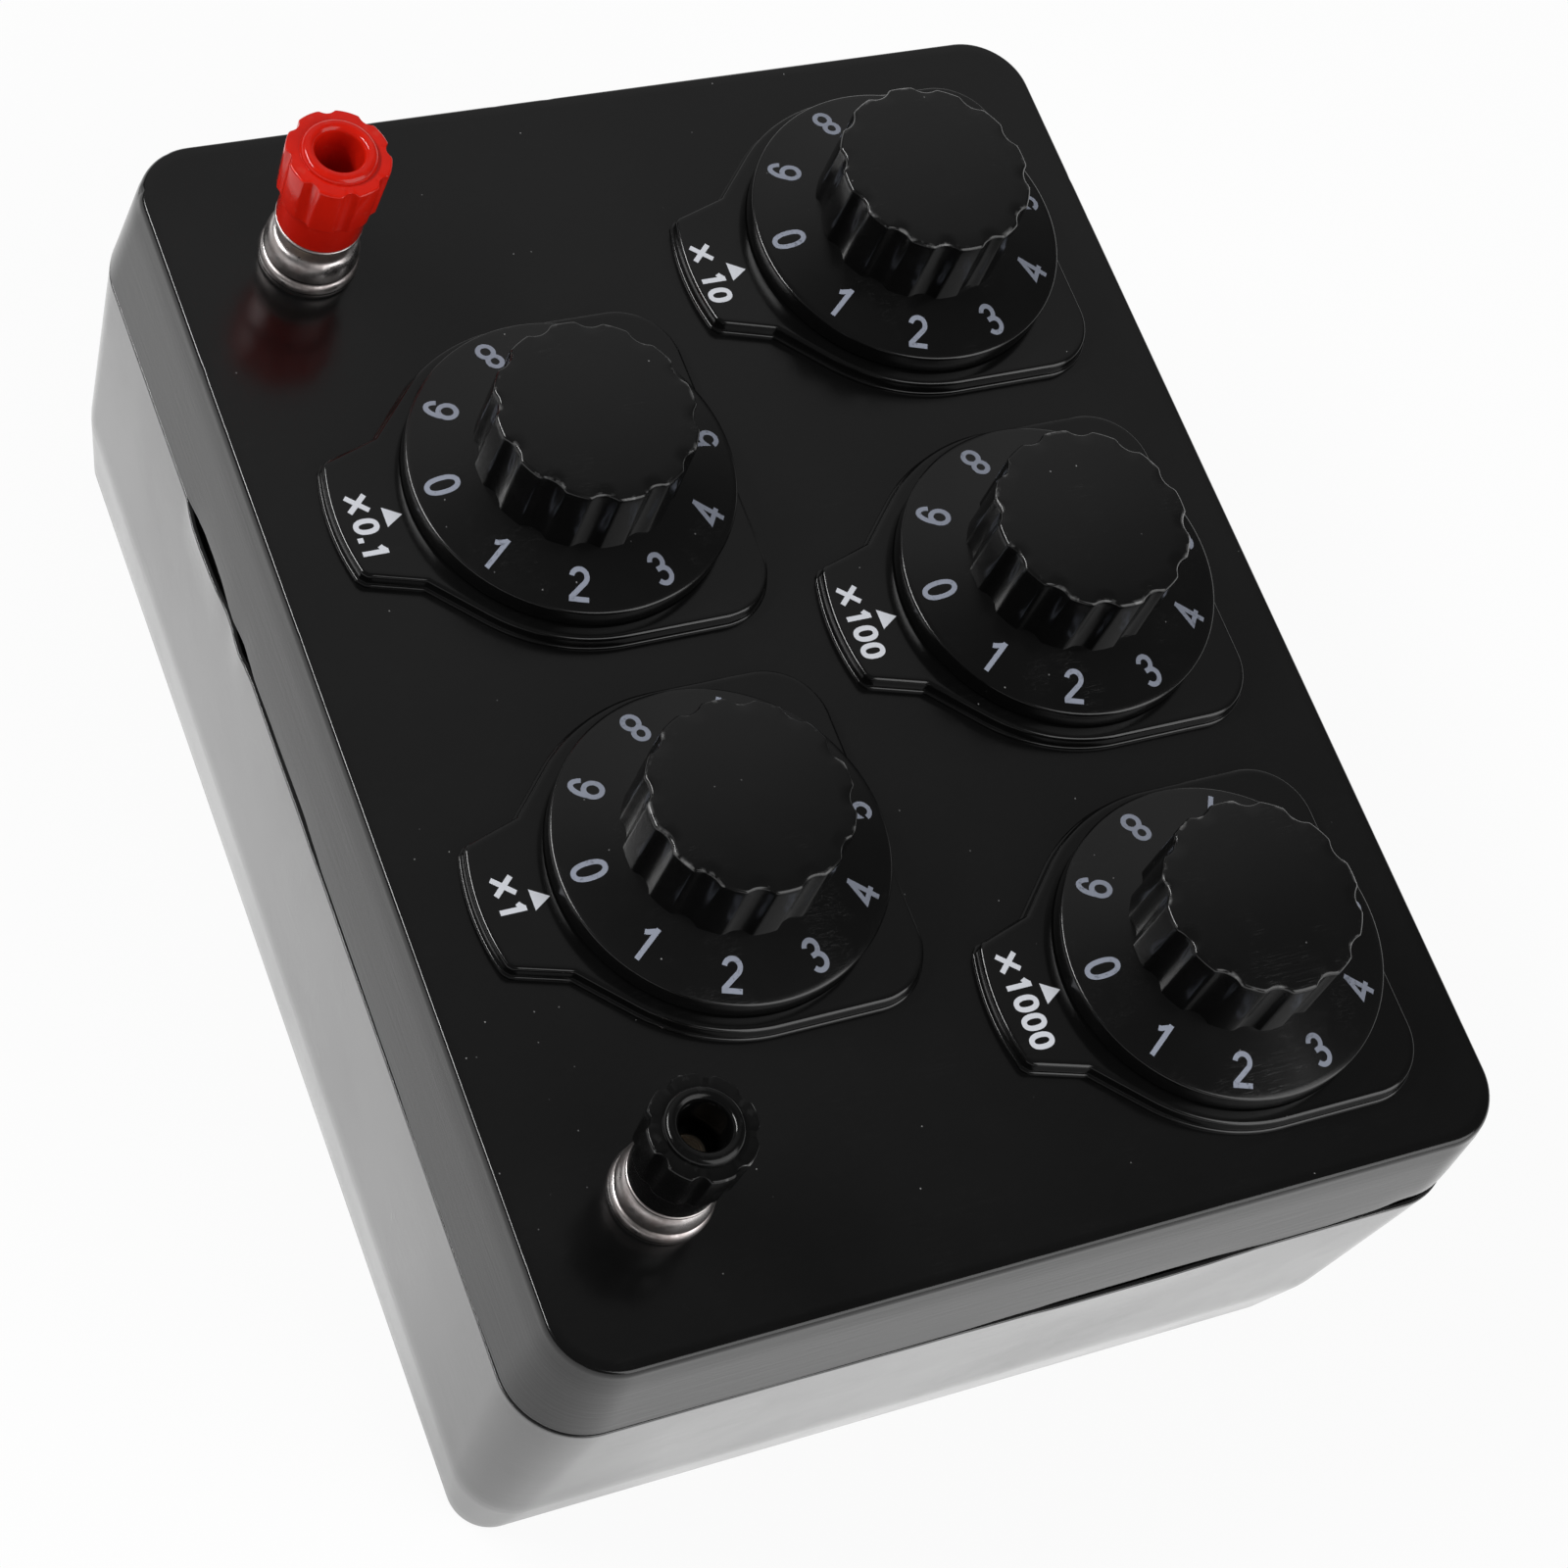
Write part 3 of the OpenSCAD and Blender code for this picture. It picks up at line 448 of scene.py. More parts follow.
# Heights on a collar between which its groove is darkened with painted shade
GROOVE_PAINTED_SHADE = (1.27, 2.2)
CHROME = metal(
    "bright_chrome", rgb(0.66, 0.63, 0.62), rgb(0.36, 0.31, 0.30), 0.22, groove_shade=GROOVE_PAINTED_SHADE)
STUD_METAL = metal("stud_metal", rgb(0.85, 0.74, 0.60), rgb(0.50, 0.38, 0.28), 0.34)
RED_PLASTIC = coloured_plastic(
    "red_plastic", rgb(0.66, 0.014, 0.005), rgb(0.58, 0.010, 0.004), 0.08, rgb(0.62, 0.07, 0.05), 0.3)
BLACK_CAP_PLASTIC = coloured_plastic(
    "black_cap_plastic", rgb(BLACK), rgb(0.005), 0.12, rgb(0.03), 0.25,
    edge=(CAP_FACE_H - 0.3, CAP_FACE_H - 0.01))
DIGIT_INK = print_ink("digit_ink", rgb(0.29, 0.315, 0.385), rgb(0.08, 0.088, 0.11), 0.57)
LABEL_INK = print_ink("label_ink", rgb(0.68, 0.70, 0.75), rgb(0.35, 0.36, 0.39), 0.66)
BRASS = inner_material("inner_brass", rgb(0.62, 0.45, 0.18), rgb(0.42, 0.29, 0.1), 0.25, 300, 1.0)
STEEL = inner_material("inner_steel", rgb(0.55, 0.56, 0.58), rgb(0.36, 0.37, 0.39), 0.3, 260, 1.0)
BOARD = inner_material("deck_board", rgb(0.24, 0.11, 0.04), rgb(0.16, 0.07, 0.025), 0.4, 420, 0.0)
WINDING = inner_material("coil_winding", rgb(0.16, 0.19, 0.05), rgb(0.09, 0.11, 0.03), 0.5, 900, 0.0)
SLEEVING = inner_material("wire_sleeving", rgb(0.42, 0.03, 0.02), rgb(0.3, 0.02, 0.015), 0.45, 700, 0.0)
INNER = {"brass": BRASS, "steel": STEEL, "deck_board": BOARD, "winding": WINDING, "wire_red": SLEEVING}


# The case
def case_outline(step=1.0, corner_steps=18):
    """Points round the lid's top face, each with its outward direction."""
    points = []
    hx, hy = LID_L / 2 - CORNER_R, LID_W / 2 - CORNER_R
    centres = ((hx, hy), (-hx, hy), (-hx, -hy), (hx, -hy))
    for k, (cx, cy) in enumerate(centres):
        for i in range(corner_steps + 1):
            a = math.radians(90 * k + 90 * i / corner_steps)
            n = Vector((math.cos(a), math.sin(a)))
            points.append((Vector((cx, cy)) + CORNER_R * n, n))
        nx, ny = centres[(k + 1) % 4]
        start, n = points[-1]
        end = Vector((nx, ny)) + CORNER_R * n
        count = round((end - start).length / step)
        points += [(start.lerp(end, j / count), n) for j in range(1, count)]
    return points


OUTLINE = case_outline()


# The old mouldings have warped apart at the seam, most at the front and on the right:
# (place along the wall, rise of the rim's edge, drop of the base's edge)
FRONT_SEAM = (
    (-47.0, 0.0, 0.0), (-45.0, 0.55, 1.0), (-43.0, 1.2, 1.65), (-40.0, 1.7, 1.8), (-36.0, 1.8, 1.55),
    (-33.0, 1.65, 1.15), (-31.0, 1.3, 0.6), (-29.0, 0.95, 0.2), (-27.0, 0.8, 0.25), (-25.0, 1.3, 0.9),
    (-23.0, 1.65, 1.15), (-20.5, 1.3, 0.5), (-18.0, 0.95, 0.1), (-10.0, 1.2, 0.1), (2.0, 1.5, 0.0),
    (8.0, 1.1, 0.1), (11.0, 0.75, 0.0), (40.0, 0.5, 0.0), (50.0, 0.15, 0.0), (72.0, 0.15, 0.0),
    (81.0, 0.4, 0.1),
)
RIGHT_SEAM = (
    (-58.75, 0.4, 0.1), (-46.0, 0.3, 0.1), (-36.0, 0.2, 0.1), (-24.0, 0.2, 0.3), (-12.0, 0.2, 0.45),
    (0.0, 0.75, 0.7), (6.0, 1.15, 1.15), (15.0, 1.25, 1.2), (21.0, 1.4, 1.3), (27.0, 1.35, 1.0),
    (33.0, 1.0, 0.45), (36.0, 0.7, 0.1), (45.0, 0.7, 0.0), (52.0, 1.3, 0.0), (58.75, 2.9, 0.0),
)
# Share of an opening that shows in the edge's height, and the wall's bow for each millimetre of it
OPENING_UP, OPENING_BOW = 0.65, 0.16
# How far the seam stands above its place in the solids, how much more on the right, and its wander
SEAM_LIFT, SEAM_LIFT_RIGHT, SEAM_WANDER = 0.4, 0.6, 0.05
# Depth below the lid's top and height of the base from which the walls follow the seam
RIM_BOW_FROM, BASE_BOW_FROM = 10.0, 40.0
# Size above which a dent shows, its depth along the front edge and elsewhere, and its share downwards
NICK_LEAST, NICK_FRONT, NICK_ELSEWHERE, NICK_DOWN = 0.42, 0.7, 0.25, 0.7
CASE_SMOOTH = 40


def along(table, spot):
    """Rise and drop at a spot along a wall, eased between the table's rows."""
    if spot <= table[0][0]:
        return table[0][1:]
    for (a, rise_a, drop_a), (b, rise_b, drop_b) in zip(table, table[1:]):
        if spot <= b:
            t = (spot - a) / (b - a)
            t = t * t * (3 - 2 * t)
            return rise_a + (rise_b - rise_a) * t, drop_a + (drop_b - drop_a) * t
    return table[-1][1:]


def seam_opening(p, n):
    """Rise of the rim's edge and drop of the base's edge at a point of the outline."""
    if n.y < -0.99:
        return along(FRONT_SEAM, p.x)
    if n.x > 0.99:
        return along(RIGHT_SEAM, p.y)
    if n.x > 0 and n.y > 0:
        return RIGHT_SEAM[-1][1] * n.x ** 2, 0.0
    if n.x > 0:
        return RIGHT_SEAM[0][1:]
    return 0.0, 0.0


def edge_nick(p, n):
    """Depth of the small dents in the lid's edge."""
    size = noise.noise((p.x * 0.9, p.y * 0.9, 5.0)) - NICK_LEAST
    return max(0.0, size) * (NICK_FRONT if n.y < -0.9 else NICK_ELSEWHERE)


def rim_grow(z):
    """How far the lid's wall stands out from its top outline at a height."""
    return RIM_FLARE * (CASE_H - z) / RIM_H


def base_grow(z):
    """How far the base's wall stands out from the lid's top outline at a height."""
    if z > FOOT_BAND_H:
        return RIM_FLARE - BASE_DRAW * (SEAM_Z - z) / (SEAM_Z - FOOT_BAND_H)
    return RIM_FLARE - BASE_DRAW - FOOT_BAND_DRAW * (1 - z / FOOT_BAND_H)


def case_rings(profile, of_lid):
    """Rings from (growth, height, share of the seam's opening, share of the edge's nicks)."""
    rings = []
    for grow, z, share, nick in profile:
        ring = []
        for p, n in OUTLINE:
            rise, drop = seam_opening(p, n)
            wander = SEAM_WANDER * noise.noise((p.x * 0.12, p.y * 0.12, 1.7))
            opening = OPENING_UP * (rise if of_lid else -drop)
            lift = SEAM_LIFT + SEAM_LIFT_RIGHT * max(0.0, n.x) + wander + opening
            bow = OPENING_BOW * (-rise if of_lid else drop)
            dent = edge_nick(p, n) * nick
            q = p + n * (grow + bow * share - dent)
            ring.append((q.x, q.y, z + lift * share - dent * NICK_DOWN))
        rings.append(ring)
    return rings


def make_lid():
    """The lid's shell, from its top face round the seam's edge to the ceiling."""
    edge_h = 1.35
    profile = [(-6.0, CASE_H, 0, 0), (-2.0, CASE_H, 0, 0)]
    for i in range(9):
        a = math.radians(90 - 90 * i / 8)
        grow, z = LID_EDGE_R * (math.cos(a) - 1), CASE_H - edge_h + edge_h * math.sin(a)
        profile.append((grow, z, 0, math.sin(2 * a)))
    for drop in (2.5, 6.0, 10.0, 12.0, 14.0, 15.5, 16.7, 17.6, 18.2):
        z = CASE_H - drop
        share = max(0.0, (drop - RIM_BOW_FROM) / (RIM_H - RIM_BOW_FROM)) ** 2
        profile.append((rim_grow(z), z, share, 0))
    low = rim_grow(SEAM_Z)
    profile += [
        (low, SEAM_Z + 0.15, 1, 0), (low - 0.05, SEAM_Z + 0.04, 1, 0), (low - 0.17, SEAM_Z, 1, 0),
        (low - WALL + 0.2, SEAM_Z, 1, 0), (low - WALL, SEAM_Z + 0.3, 1, 0),
    ]
    for z in (SEAM_Z + 6, CASE_H - LID_T):
        profile.append((rim_grow(z) - WALL, z, 0, 0))
    return stacked("lid_shell", case_rings(profile, True), CASE_SMOOTH)


def make_base():
    """The base's shell, from its underside round the seam's edge and the lip to the floor."""
    floor_grow = base_grow(0)
    profile = [(floor_grow - 4.0, 0, 0, 0), (floor_grow - FOOT_EDGE_R - 0.4, 0, 0, 0)]
    for i in range(7):
        a = math.radians(-90 + 80 * i / 6)
        grow = floor_grow - FOOT_EDGE_R + 0.2 + FOOT_EDGE_R * math.cos(a)
        profile.append((grow, FOOT_EDGE_R * (1 + math.sin(a)), 0, 0))
    top = SEAM_Z - SEAM_GAP
    bend = 0.9
    heights = [4.0, 7.0, 10.0, 12.5]
    heights += [FOOT_BAND_H + step for step in (-bend, -0.4, 0.0, 0.4, bend)]
    heights += [18.0, 22.0, 26.0, 32.0, 38.0, 41.0, 43.5, 45.5, 47.0, 48.3, 49.2, 49.8]
    for z in heights:
        rounding = 0.05 * max(0.0, 1 - abs(z - FOOT_BAND_H) / bend)
        share = max(0.0, (z - BASE_BOW_FROM) / (top - BASE_BOW_FROM)) ** 2
        profile.append((base_grow(z) - rounding, z, share, 0))
    edge, edge_r = base_grow(top), 0.2
    for i in range(5):
        a = math.radians(90 * i / 4)
        profile.append((edge - edge_r * (1 - math.cos(a)), top - edge_r * (1 - math.sin(a)), 1, 0))
    groove = top - 3.0
    lip, lip_top, lip_t = rim_grow(SEAM_Z) - WALL - 0.3, SEAM_Z + 3.0, 1.4
    profile += [
        (edge - 0.6, top, 1, 0), (edge - 0.75, groove, 0.8, 0), (lip + 0.1, groove, 0.8, 0),
        (lip, top - 1.0, 0, 0), (lip - 0.2, lip_top - 0.2, 0, 0), (lip - 0.4, lip_top, 0, 0),
        (lip - lip_t + 0.2, lip_top, 0, 0), (lip - lip_t, lip_top - 0.2, 0, 0),
        (lip - lip_t, top - 6.0, 0, 0),
    ]
    for z in (top - 9, FOOT_BAND_H, FLOOR_T):
        profile.append((base_grow(z) - WALL, z, 0, 0))
    shell = stacked("base_shell", case_rings(profile, False), CASE_SMOOTH)
    add_screw_wells(shell)
    return shell


def add_screw_wells(shell):
    """Cuts the four deep screw holes into the underside and stands their columns on the floor."""
    column_top = SEAM_Z - SEAM_GAP - 2.0
    seat = column_top - 10.0
    # Radius, low end, high end and change: the columns, the wells for the heads, the shank holes
    changes = (
        (5.3, 2.0, column_top, "UNION"),
        (3.7, -1.0, seat, "DIFFERENCE"),
        (1.8, 1.0, column_top + 1, "DIFFERENCE"),
    )
    for radius, low, high, operation in changes:
        bm = bmesh.new()
        for sx in (-1, 1):
            for sy in (-1, 1):
                middle = Vector((sx * COLUMN_X, sy * COLUMN_Y, (low + high) / 2))
                bmesh.ops.create_cone(
                    bm, cap_ends=True, segments=40, radius1=radius * MM, radius2=radius * MM,
                    depth=(high - low) * MM, matrix=Matrix.Translation(middle * MM))
        mesh = bpy.data.meshes.new("well")
        bm.to_mesh(mesh)
        bm.free()
        cutter = bpy.data.objects.new("well", mesh)
        bpy.context.scene.collection.objects.link(cutter)
        combine(shell, cutter, operation)
    shell.data.shade_smooth()
    shell.data.set_sharp_from_angle(angle=math.radians(CASE_SMOOTH))


# Printed figures
def arc(cx, cy, a, b, start, end, steps=18, power=2.0):
    """Points of an oval arc, angles in degrees."""
    out = []
    for i in range(steps + 1):
        t = math.radians(start + (end - start) * i / steps)
        c, s = math.cos(t), math.sin(t)
        x = math.copysign(abs(c) ** (2 / power), c)
        y = math.copysign(abs(s) ** (2 / power), s)
        out.append((cx + a * x, cy + b * y))
    return out


def figure_strokes(mark, width, weight):
    """The pen strokes of a figure of height 1, as (points, closed)."""
    h = weight / 2
    a = width / 2 - h
    mid = width / 2
    # Middle and half height of the upper and lower bows of a 3 and an 8
    upper_y, upper_half = 0.7225, 0.2775
    lower_y, lower_half = 0.2975, 0.2975
    if mark == "0":
        return [(arc(mid, 0.5, a, 0.5 - h, 0, 360, 40, 2.3)[:-1], True)]
    if mark == "1":
        stem = width * 0.64
        flag = [(stem, 0.93), (stem - 0.34 * width, 0.76), (stem - 0.46 * width, 0.73)]
        return [([(stem, 0), (stem, 1)], False), (flag, False)]
    if mark == "2":
        bow = arc(mid, 0.70, a, 0.30 - h, 172, -38, 20)
        return [(bow + [(h * 1.15, h + 0.06), (h * 1.15, h), (width, h)], False)]
    if mark == "3":
        upper = arc(mid, upper_y, a - 0.03, upper_half - h, 160, -90)
        lower = arc(mid, lower_y, a, lower_half - h, 90, -160)
        waist = [(mid - 0.10, 0.52)]
        return [(waist + lower, False), (upper + waist, False)]
    if mark == "4":
        stem = width * 0.70
        arm = [(stem, 0.94), (h * 0.9, 0.30), (width, 0.30)]
        return [(arm, False), ([(stem, 0), (stem, 1)], False)]
    if mark == "5":
        bow = arc(mid, 0.32, a, 0.32 - h, 140, -160, 22)
        return [([(width * 0.93, 1 - h), (width * 0.24, 1 - h)] + bow, False)]
    if mark in "69":
        loop = (arc(mid, 0.32, a, 0.32 - h, 0, 360, 32)[:-1], True)
        stem = (arc(mid, 0.5, a, 0.5 - h, 200, 28, 24), False)
        strokes = [loop, stem]
        if mark == "9":
            strokes = [([(width - x, 1 - y) for x, y in pts], closed) for pts, closed in strokes]
        return strokes
    if mark == "7":
        bar = [(0, 1 - h), (width - h * 0.6, 1 - h)]
        return [(bar + [(width * 0.55, 0.5), (width * 0.34, 0)], False)]
    if mark == "8":
        upper = (arc(mid, upper_y, a - 0.025, upper_half - h, 0, 360, 30)[:-1], True)
        lower = (arc(mid, lower_y, a, lower_half - h, 0, 360, 32)[:-1], True)
        return [upper, lower]
    if mark == "x":
        inset, top = 0.7 * h, 0.9
        rising = [(inset, inset), (width - inset, top - inset)]
        falling = [(inset, top - inset), (width - inset, inset)]
        return [(rising, False), (falling, False)]
    return [([(mid, 0), (mid, weight * 1.05)], False)]


def stroke_solid(points, closed, weight, thickness):
    """One pen stroke as a thin closed solid: (points, faces)."""
    n = len(points)
    flat = [Vector(p) for p in points]
    left, right = [], []
    for i, p in enumerate(flat):
        before = flat[i - 1] if closed or i > 0 else None
        after = flat[(i + 1) % n] if closed or i < n - 1 else None
        d1 = (p - before).normalized() if before is not None else None
        d2 = (after - p).normalized() if after is not None else None
        d1, d2 = d1 or d2, d2 or d1
        side = Vector((-(d1.y + d2.y), d1.x + d2.x)).normalized()
        reach = weight / 2 / max(0.45, side.dot(Vector((-d1.y, d1.x))))
        left.append(p + side * reach)
        right.append(p - side * reach)
    solid, faces = [], []
    for level in (0.0, thickness):
        solid += [(q.x, q.y, level) for q in left] + [(q.x, q.y, level) for q in right]
    last = n if closed else n - 1
    for i in range(last):
        k = (i + 1) % n
        faces.append((2 * n + i, 2 * n + k, 3 * n + k, 3 * n + i))
        faces.append((i, n + i, n + k, k))
        faces.append((i, k, 2 * n + k, 2 * n + i))
        faces.append((n + i, 3 * n + i, 3 * n + k, n + k))
    if not closed:
        faces.append((0, 2 * n, 3 * n, n))
        faces.append((n - 1, 2 * n - 1, 4 * n - 1, 3 * n - 1))
    return solid, faces


# Longest edge in a figure, so that it bends with the skirt
LONGEST_EDGE = 0.8


def figure_mesh(mark, width, weight, height, thickness):
    """A figure of that height in millimetres as (points, faces), with its strokes joined."""
    whole = None
    for points, closed in figure_strokes(mark, width, weight):
        solid, faces = stroke_solid(points, closed, weight, thickness / height)
        scaled = [tuple(c * height / MM for c in point) for point in solid]
        part = new_object("stroke", scaled, faces)
        if whole is None:
            whole = part
        else:
            combine(whole, part, "UNION")
    bm = bmesh.new()
    bm.from_mesh(whole.data)
    bmesh.ops.triangulate(bm, faces=bm.faces)
    for _ in range(3):
        long_edges = [e for e in bm.edges if e.calc_length() > LONGEST_EDGE]
        if long_edges:
            bmesh.ops.subdivide_edges(bm, edges=long_edges, cuts=1)
            bmesh.ops.triangulate(bm, faces=bm.faces)
    points = [tuple(v.co) for v in bm.verts]
    bm.verts.index_update()
    faces = [tuple(v.index for v in f.verts) for f in bm.faces]
    bm.free()
    bpy.data.objects.remove(whole)
    return points, faces


def cone_z(r):
    """Height of the skirt's sloping face above the lid."""
    slope = (GRIP_LOW - SKIRT_EDGE) / (SKIRT_R - GRIP_R)
    return SKIRT_EDGE + (SKIRT_R - r) * slope


# Thickness of the ink and how deep it lies in its moulding
INK_T, INK_SINK = 0.05, 0.02
# Widths and weights are shares of the height
DIGIT_H, DIGIT_WIDTH, DIGIT_WEIGHT, DIGIT_MID_R = 4.7, 0.58, 0.145, 18.65
DIGITS = {m: figure_mesh(m, DIGIT_WIDTH, DIGIT_WEIGHT, DIGIT_H, INK_T) for m in "0123456789"}
LABEL_H, LABEL_WEIGHT = 3.55, 0.205
LABEL_WIDTH = {"0": 0.67, "1": 0.52, ".": 0.25, "x": 0.81}
LABELS = {m: figure_mesh(m, LABEL_WIDTH[m], LABEL_WEIGHT, LABEL_H, INK_T) for m in "01x."}
POINTER = ((0.0, 2.45), (-1.5, 0.0), (1.5, 0.0))
# How far the pen moves on after each sign
LABEL_ADVANCE = {"x": 3.7, " ": 1.1, "1": 2.5, "0": 2.65, ".": 1.3}


def make_digits(name, x, y):
    """The ten figures on a knob's skirt, bent to its slope."""
    points, faces = [], []
    for value in range(10):
        a = math.radians(270 + 36 * value)
        out = Vector((math.cos(a), math.sin(a)))
        aside = Vector((-out.y, out.x))
        figure, triangles = DIGITS[str(value)]
        base = len(points)
        for u, v, w in figure:
            p = out * (DIGIT_MID_R - (v - DIGIT_H / 2)) + aside * (u - DIGIT_WIDTH / 2 * DIGIT_H)
            points.append((x + p.x, y + p.y, CASE_H + cone_z(p.length) + w - INK_SINK))
        faces += [tuple(i + base for i in f) for f in triangles]
    return new_object(name, points, faces)


def make_label(name, x, y, text, pointer, start):
    """The multiplier on a plate's tab, with its pointer above it."""
    points, faces = [], []
    z = CASE_H + PLATE_H - INK_SINK
    pen = x + start[0]
    for m in text:
        if m in LABELS:
            figure, triangles = LABELS[m]
            base = len(points)
            points += [(pen + u, y + start[1] + v, z + w) for u, v, w in figure]
            faces += [tuple(i + base for i in f) for f in triangles]
        pen += LABEL_ADVANCE[m]
    base = len(points)
    px, py = x + pointer[0], y + pointer[1]
    points += [(px + u, py + v, z + w) for w in (0.0, INK_T) for u, v in POINTER]
    faces += [(base + 2, base + 1, base), (base + 3, base + 4, base + 5)]
    for i in range(3):
        k = (i + 1) % 3
        faces.append((base + i, base + k, base + 3 + k, base + 3 + i))
    return new_object(name, points, faces)


# Dials
def plate_outline():
    """Points round a plate, anticlockwise from the middle of its far edge."""
    half = []
    cx, cy = -(PLATE_R - PLATE_CORNER_R), PLATE_FAR - PLATE_CORNER_R
    half += [(cx * i / 8, PLATE_FAR) for i in range(8)]
    half += arc(cx, cy, PLATE_CORNER_R, PLATE_CORNER_R, 90, 180, 24)
    half += [(-PLATE_R, cy * (1 - i / 6)) for i in range(1, 6)]
    half += arc(0, 0, PLATE_R, PLATE_R, 180, 225, 32)
    neck_y = TAB_NECK - PLATE_R * math.sqrt(2)
    sin45 = PLATE_R * math.sqrt(0.5)
    for i in range(1, 4):
        half.append((-sin45 + (sin45 - TAB_NECK) * i / 4, -sin45 + (neck_y + sin45) * i / 4))
    half += [(-TAB_NECK - 0.25, neck_y + 0.25), (-TAB_NECK, neck_y)]
    half.append((-TAB_NECK + 0.1, neck_y - 0.35))
    tip_x = TAB_NECK - TAB_DRAW
    tip_y = -math.sqrt(TAB_R ** 2 - tip_x ** 2)
    for t in (0.3, 0.6, 0.85, 0.94):
        half.append((-TAB_NECK + TAB_DRAW * t, neck_y + (tip_y - neck_y) * t))
    turn = math.degrees(math.atan2(tip_y, -tip_x)) % 360
    half += arc(0, 0, TAB_R, TAB_R, turn + 0.9, 270, 26)
    return half + [(-x, y) for x, y in reversed(half[1:-1])]


def offset_outline(points, grow):
    """The outline moved outwards; it runs anticlockwise."""
    out = []
    n = len(points)
    for i, p in enumerate(points):
        d1 = (Vector(p) - Vector(points[i - 1])).normalized()
        d2 = (Vector(points[(i + 1) % n]) - Vector(p)).normalized()
        side = Vector((d1.y + d2.y, -(d1.x + d2.x))).normalized()
        reach = grow / max(0.6, side.dot(Vector((d1.y, -d1.x))))
        out.append((p[0] + side.x * reach, p[1] + side.y * reach))
    return out


PLATE_OUTLINE = plate_outline()


def make_plate(name, x, y):
    """A dial plate: a low rounded foot, then the wall and its rounded top edge."""
    edge = 0.55
    foot = ((0, 0.0), (0, 0.2), (0.03, 0.32), (0.1, 0.42), (0.2, 0.48), (0.3, PLATE_FOOT_H))
    profile = [(PLATE_FOOT - inset, z) for inset, z in foot]
    profile += [(0.04, PLATE_FOOT_H), (0, PLATE_FOOT_H + 0.06)]
    for i in range(9):
        a = math.radians(90 * i / 8)
        profile.append((edge * (math.cos(a) - 1), PLATE_H - edge + edge * math.sin(a)))
    profile += [(-1.0, PLATE_H)]
    rings = []
    for grow, z in profile:
        outline = offset_outline(PLATE_OUTLINE, grow)
        rings.append([(x + px, y + py, CASE_H + z) for px, py in outline])
    return stacked(name, rings, 38)


def smooth_least(a, b, soft):
    """The lesser of two values, blended where they are within soft of each other."""
    h = max(soft - abs(a - b), 0.0) / soft
    return min(a, b) - h * h * soft / 4


def grip_radius(r, angle):
    """Radius of the fluted grip where the plain grip would have radius r."""
    pitch = TAU / FLUTES
    d = (angle % pitch) - pitch / 2
    axis = r - FLUTE_DEPTH + FLUTE_R
    side = axis * math.sin(d)
    if abs(side) >= FLUTE_R:
        return r
    flute = axis * math.cos(d) - math.sqrt(FLUTE_R ** 2 - side ** 2)
    return smooth_least(r, flute, FLUTE_SOFT)


def make_knob(name, x, y):
    """Grip, skirt and hollow underside as one moulding."""
    foot_r = GRIP_R + 0.15
    profile = []
    for t in (0.0005, 0.2, 0.4, 0.55, 0.7, 0.8, 0.88):
        profile.append((GRIP_R * t, GRIP_TOP + GRIP_DOME * (1 - t * t), 0))
    edge = 0.5
    for i in range(7):
        a = math.radians(90 - 90 * i / 6)
        profile.append((GRIP_R - edge + edge * math.cos(a), GRIP_TOP - edge + edge * math.sin(a), 1))
    for t in (0.1, 0.35, 0.6, 0.8, 0.92):
        profile.append((GRIP_R + (foot_r - GRIP_R) * t, GRIP_TOP + (GRIP_LOW - GRIP_TOP) * t, 1))
    profile.append((foot_r, None, 1))
    profile += [(r, cone_z(r), 0) for r in (14.1, 14.8, 15.6, 17.0, 18.5, 20.0, 21.3)]
    rim_r, hollow_r, hollow_top_r, hollow_edge = 21.6, 20.8, 15.4, SKIRT_EDGE - 1.6
    rim = rounded([
        (rim_r, cone_z(rim_r), 0), (SKIRT_R, SKIRT_EDGE, 0.4), (SKIRT_R - 0.1, SKIRT_LOW, 0.04),
        (hollow_r + 0.1, SKIRT_LOW, 0)], steps=3)
    profile += [(r, z, 0) for r, z in rim]
    bore, bore_top = SPINDLE_R + 0.03, SPINDLE_TOP + 0.4
    profile += [
        (hollow_r + 0.05, SKIRT_LOW + 0.1, 0), (hollow_r, hollow_edge, 0),
        (hollow_top_r, HOLLOW_TOP, 0), (bore, HOLLOW_TOP, 0), (bore, bore_top, 0), (0.3, bore_top, 0),
    ]
    segments = 264
    rings = []
    for r, z, fluted in profile:
        ring = []
        for j in range(segments):
            a = TAU * j / segments
            q = r + (grip_radius(GRIP_R, a) - GRIP_R) * fluted
            ring.append((q * math.cos(a), q * math.sin(a), cone_z(q) if z is None else z))
        rings.append(ring)
    knob = stacked(name, rings, 32)
    knob.location = Vector((x, y, CASE_H)) * MM
    return knob


# Binding posts
def cap_radius(r, z, angle):
    """Radius of a post cap where its plain form has radius r: shallow flutes between the ribs."""
    if r < CAP_SKIRT_R + 0.05 or z < CAP_SKIRT_H - 0.4:
        return r
    pitch = TAU / RIBS
    d = (angle % pitch) - pitch / 2
    side = CAP_FLUTE_AXIS * math.sin(d)
    if abs(side) >= CAP_FLUTE_R:
        return r
    flute = CAP_FLUTE_AXIS * math.cos(d) - math.sqrt(CAP_FLUTE_R ** 2 - side ** 2)
    return max(CAP_SKIRT_R + 0.05, smooth_least(r, flute, CAP_FLUTE_SOFT))


def stand(obj, x, y, z, turn=0.0):
    """Stands a piece made on its own axis on the lid, z above it."""
    obj.location = Vector((x, y, CASE_H + z)) * MM
    obj.rotation_euler = (0, 0, turn)
    return obj


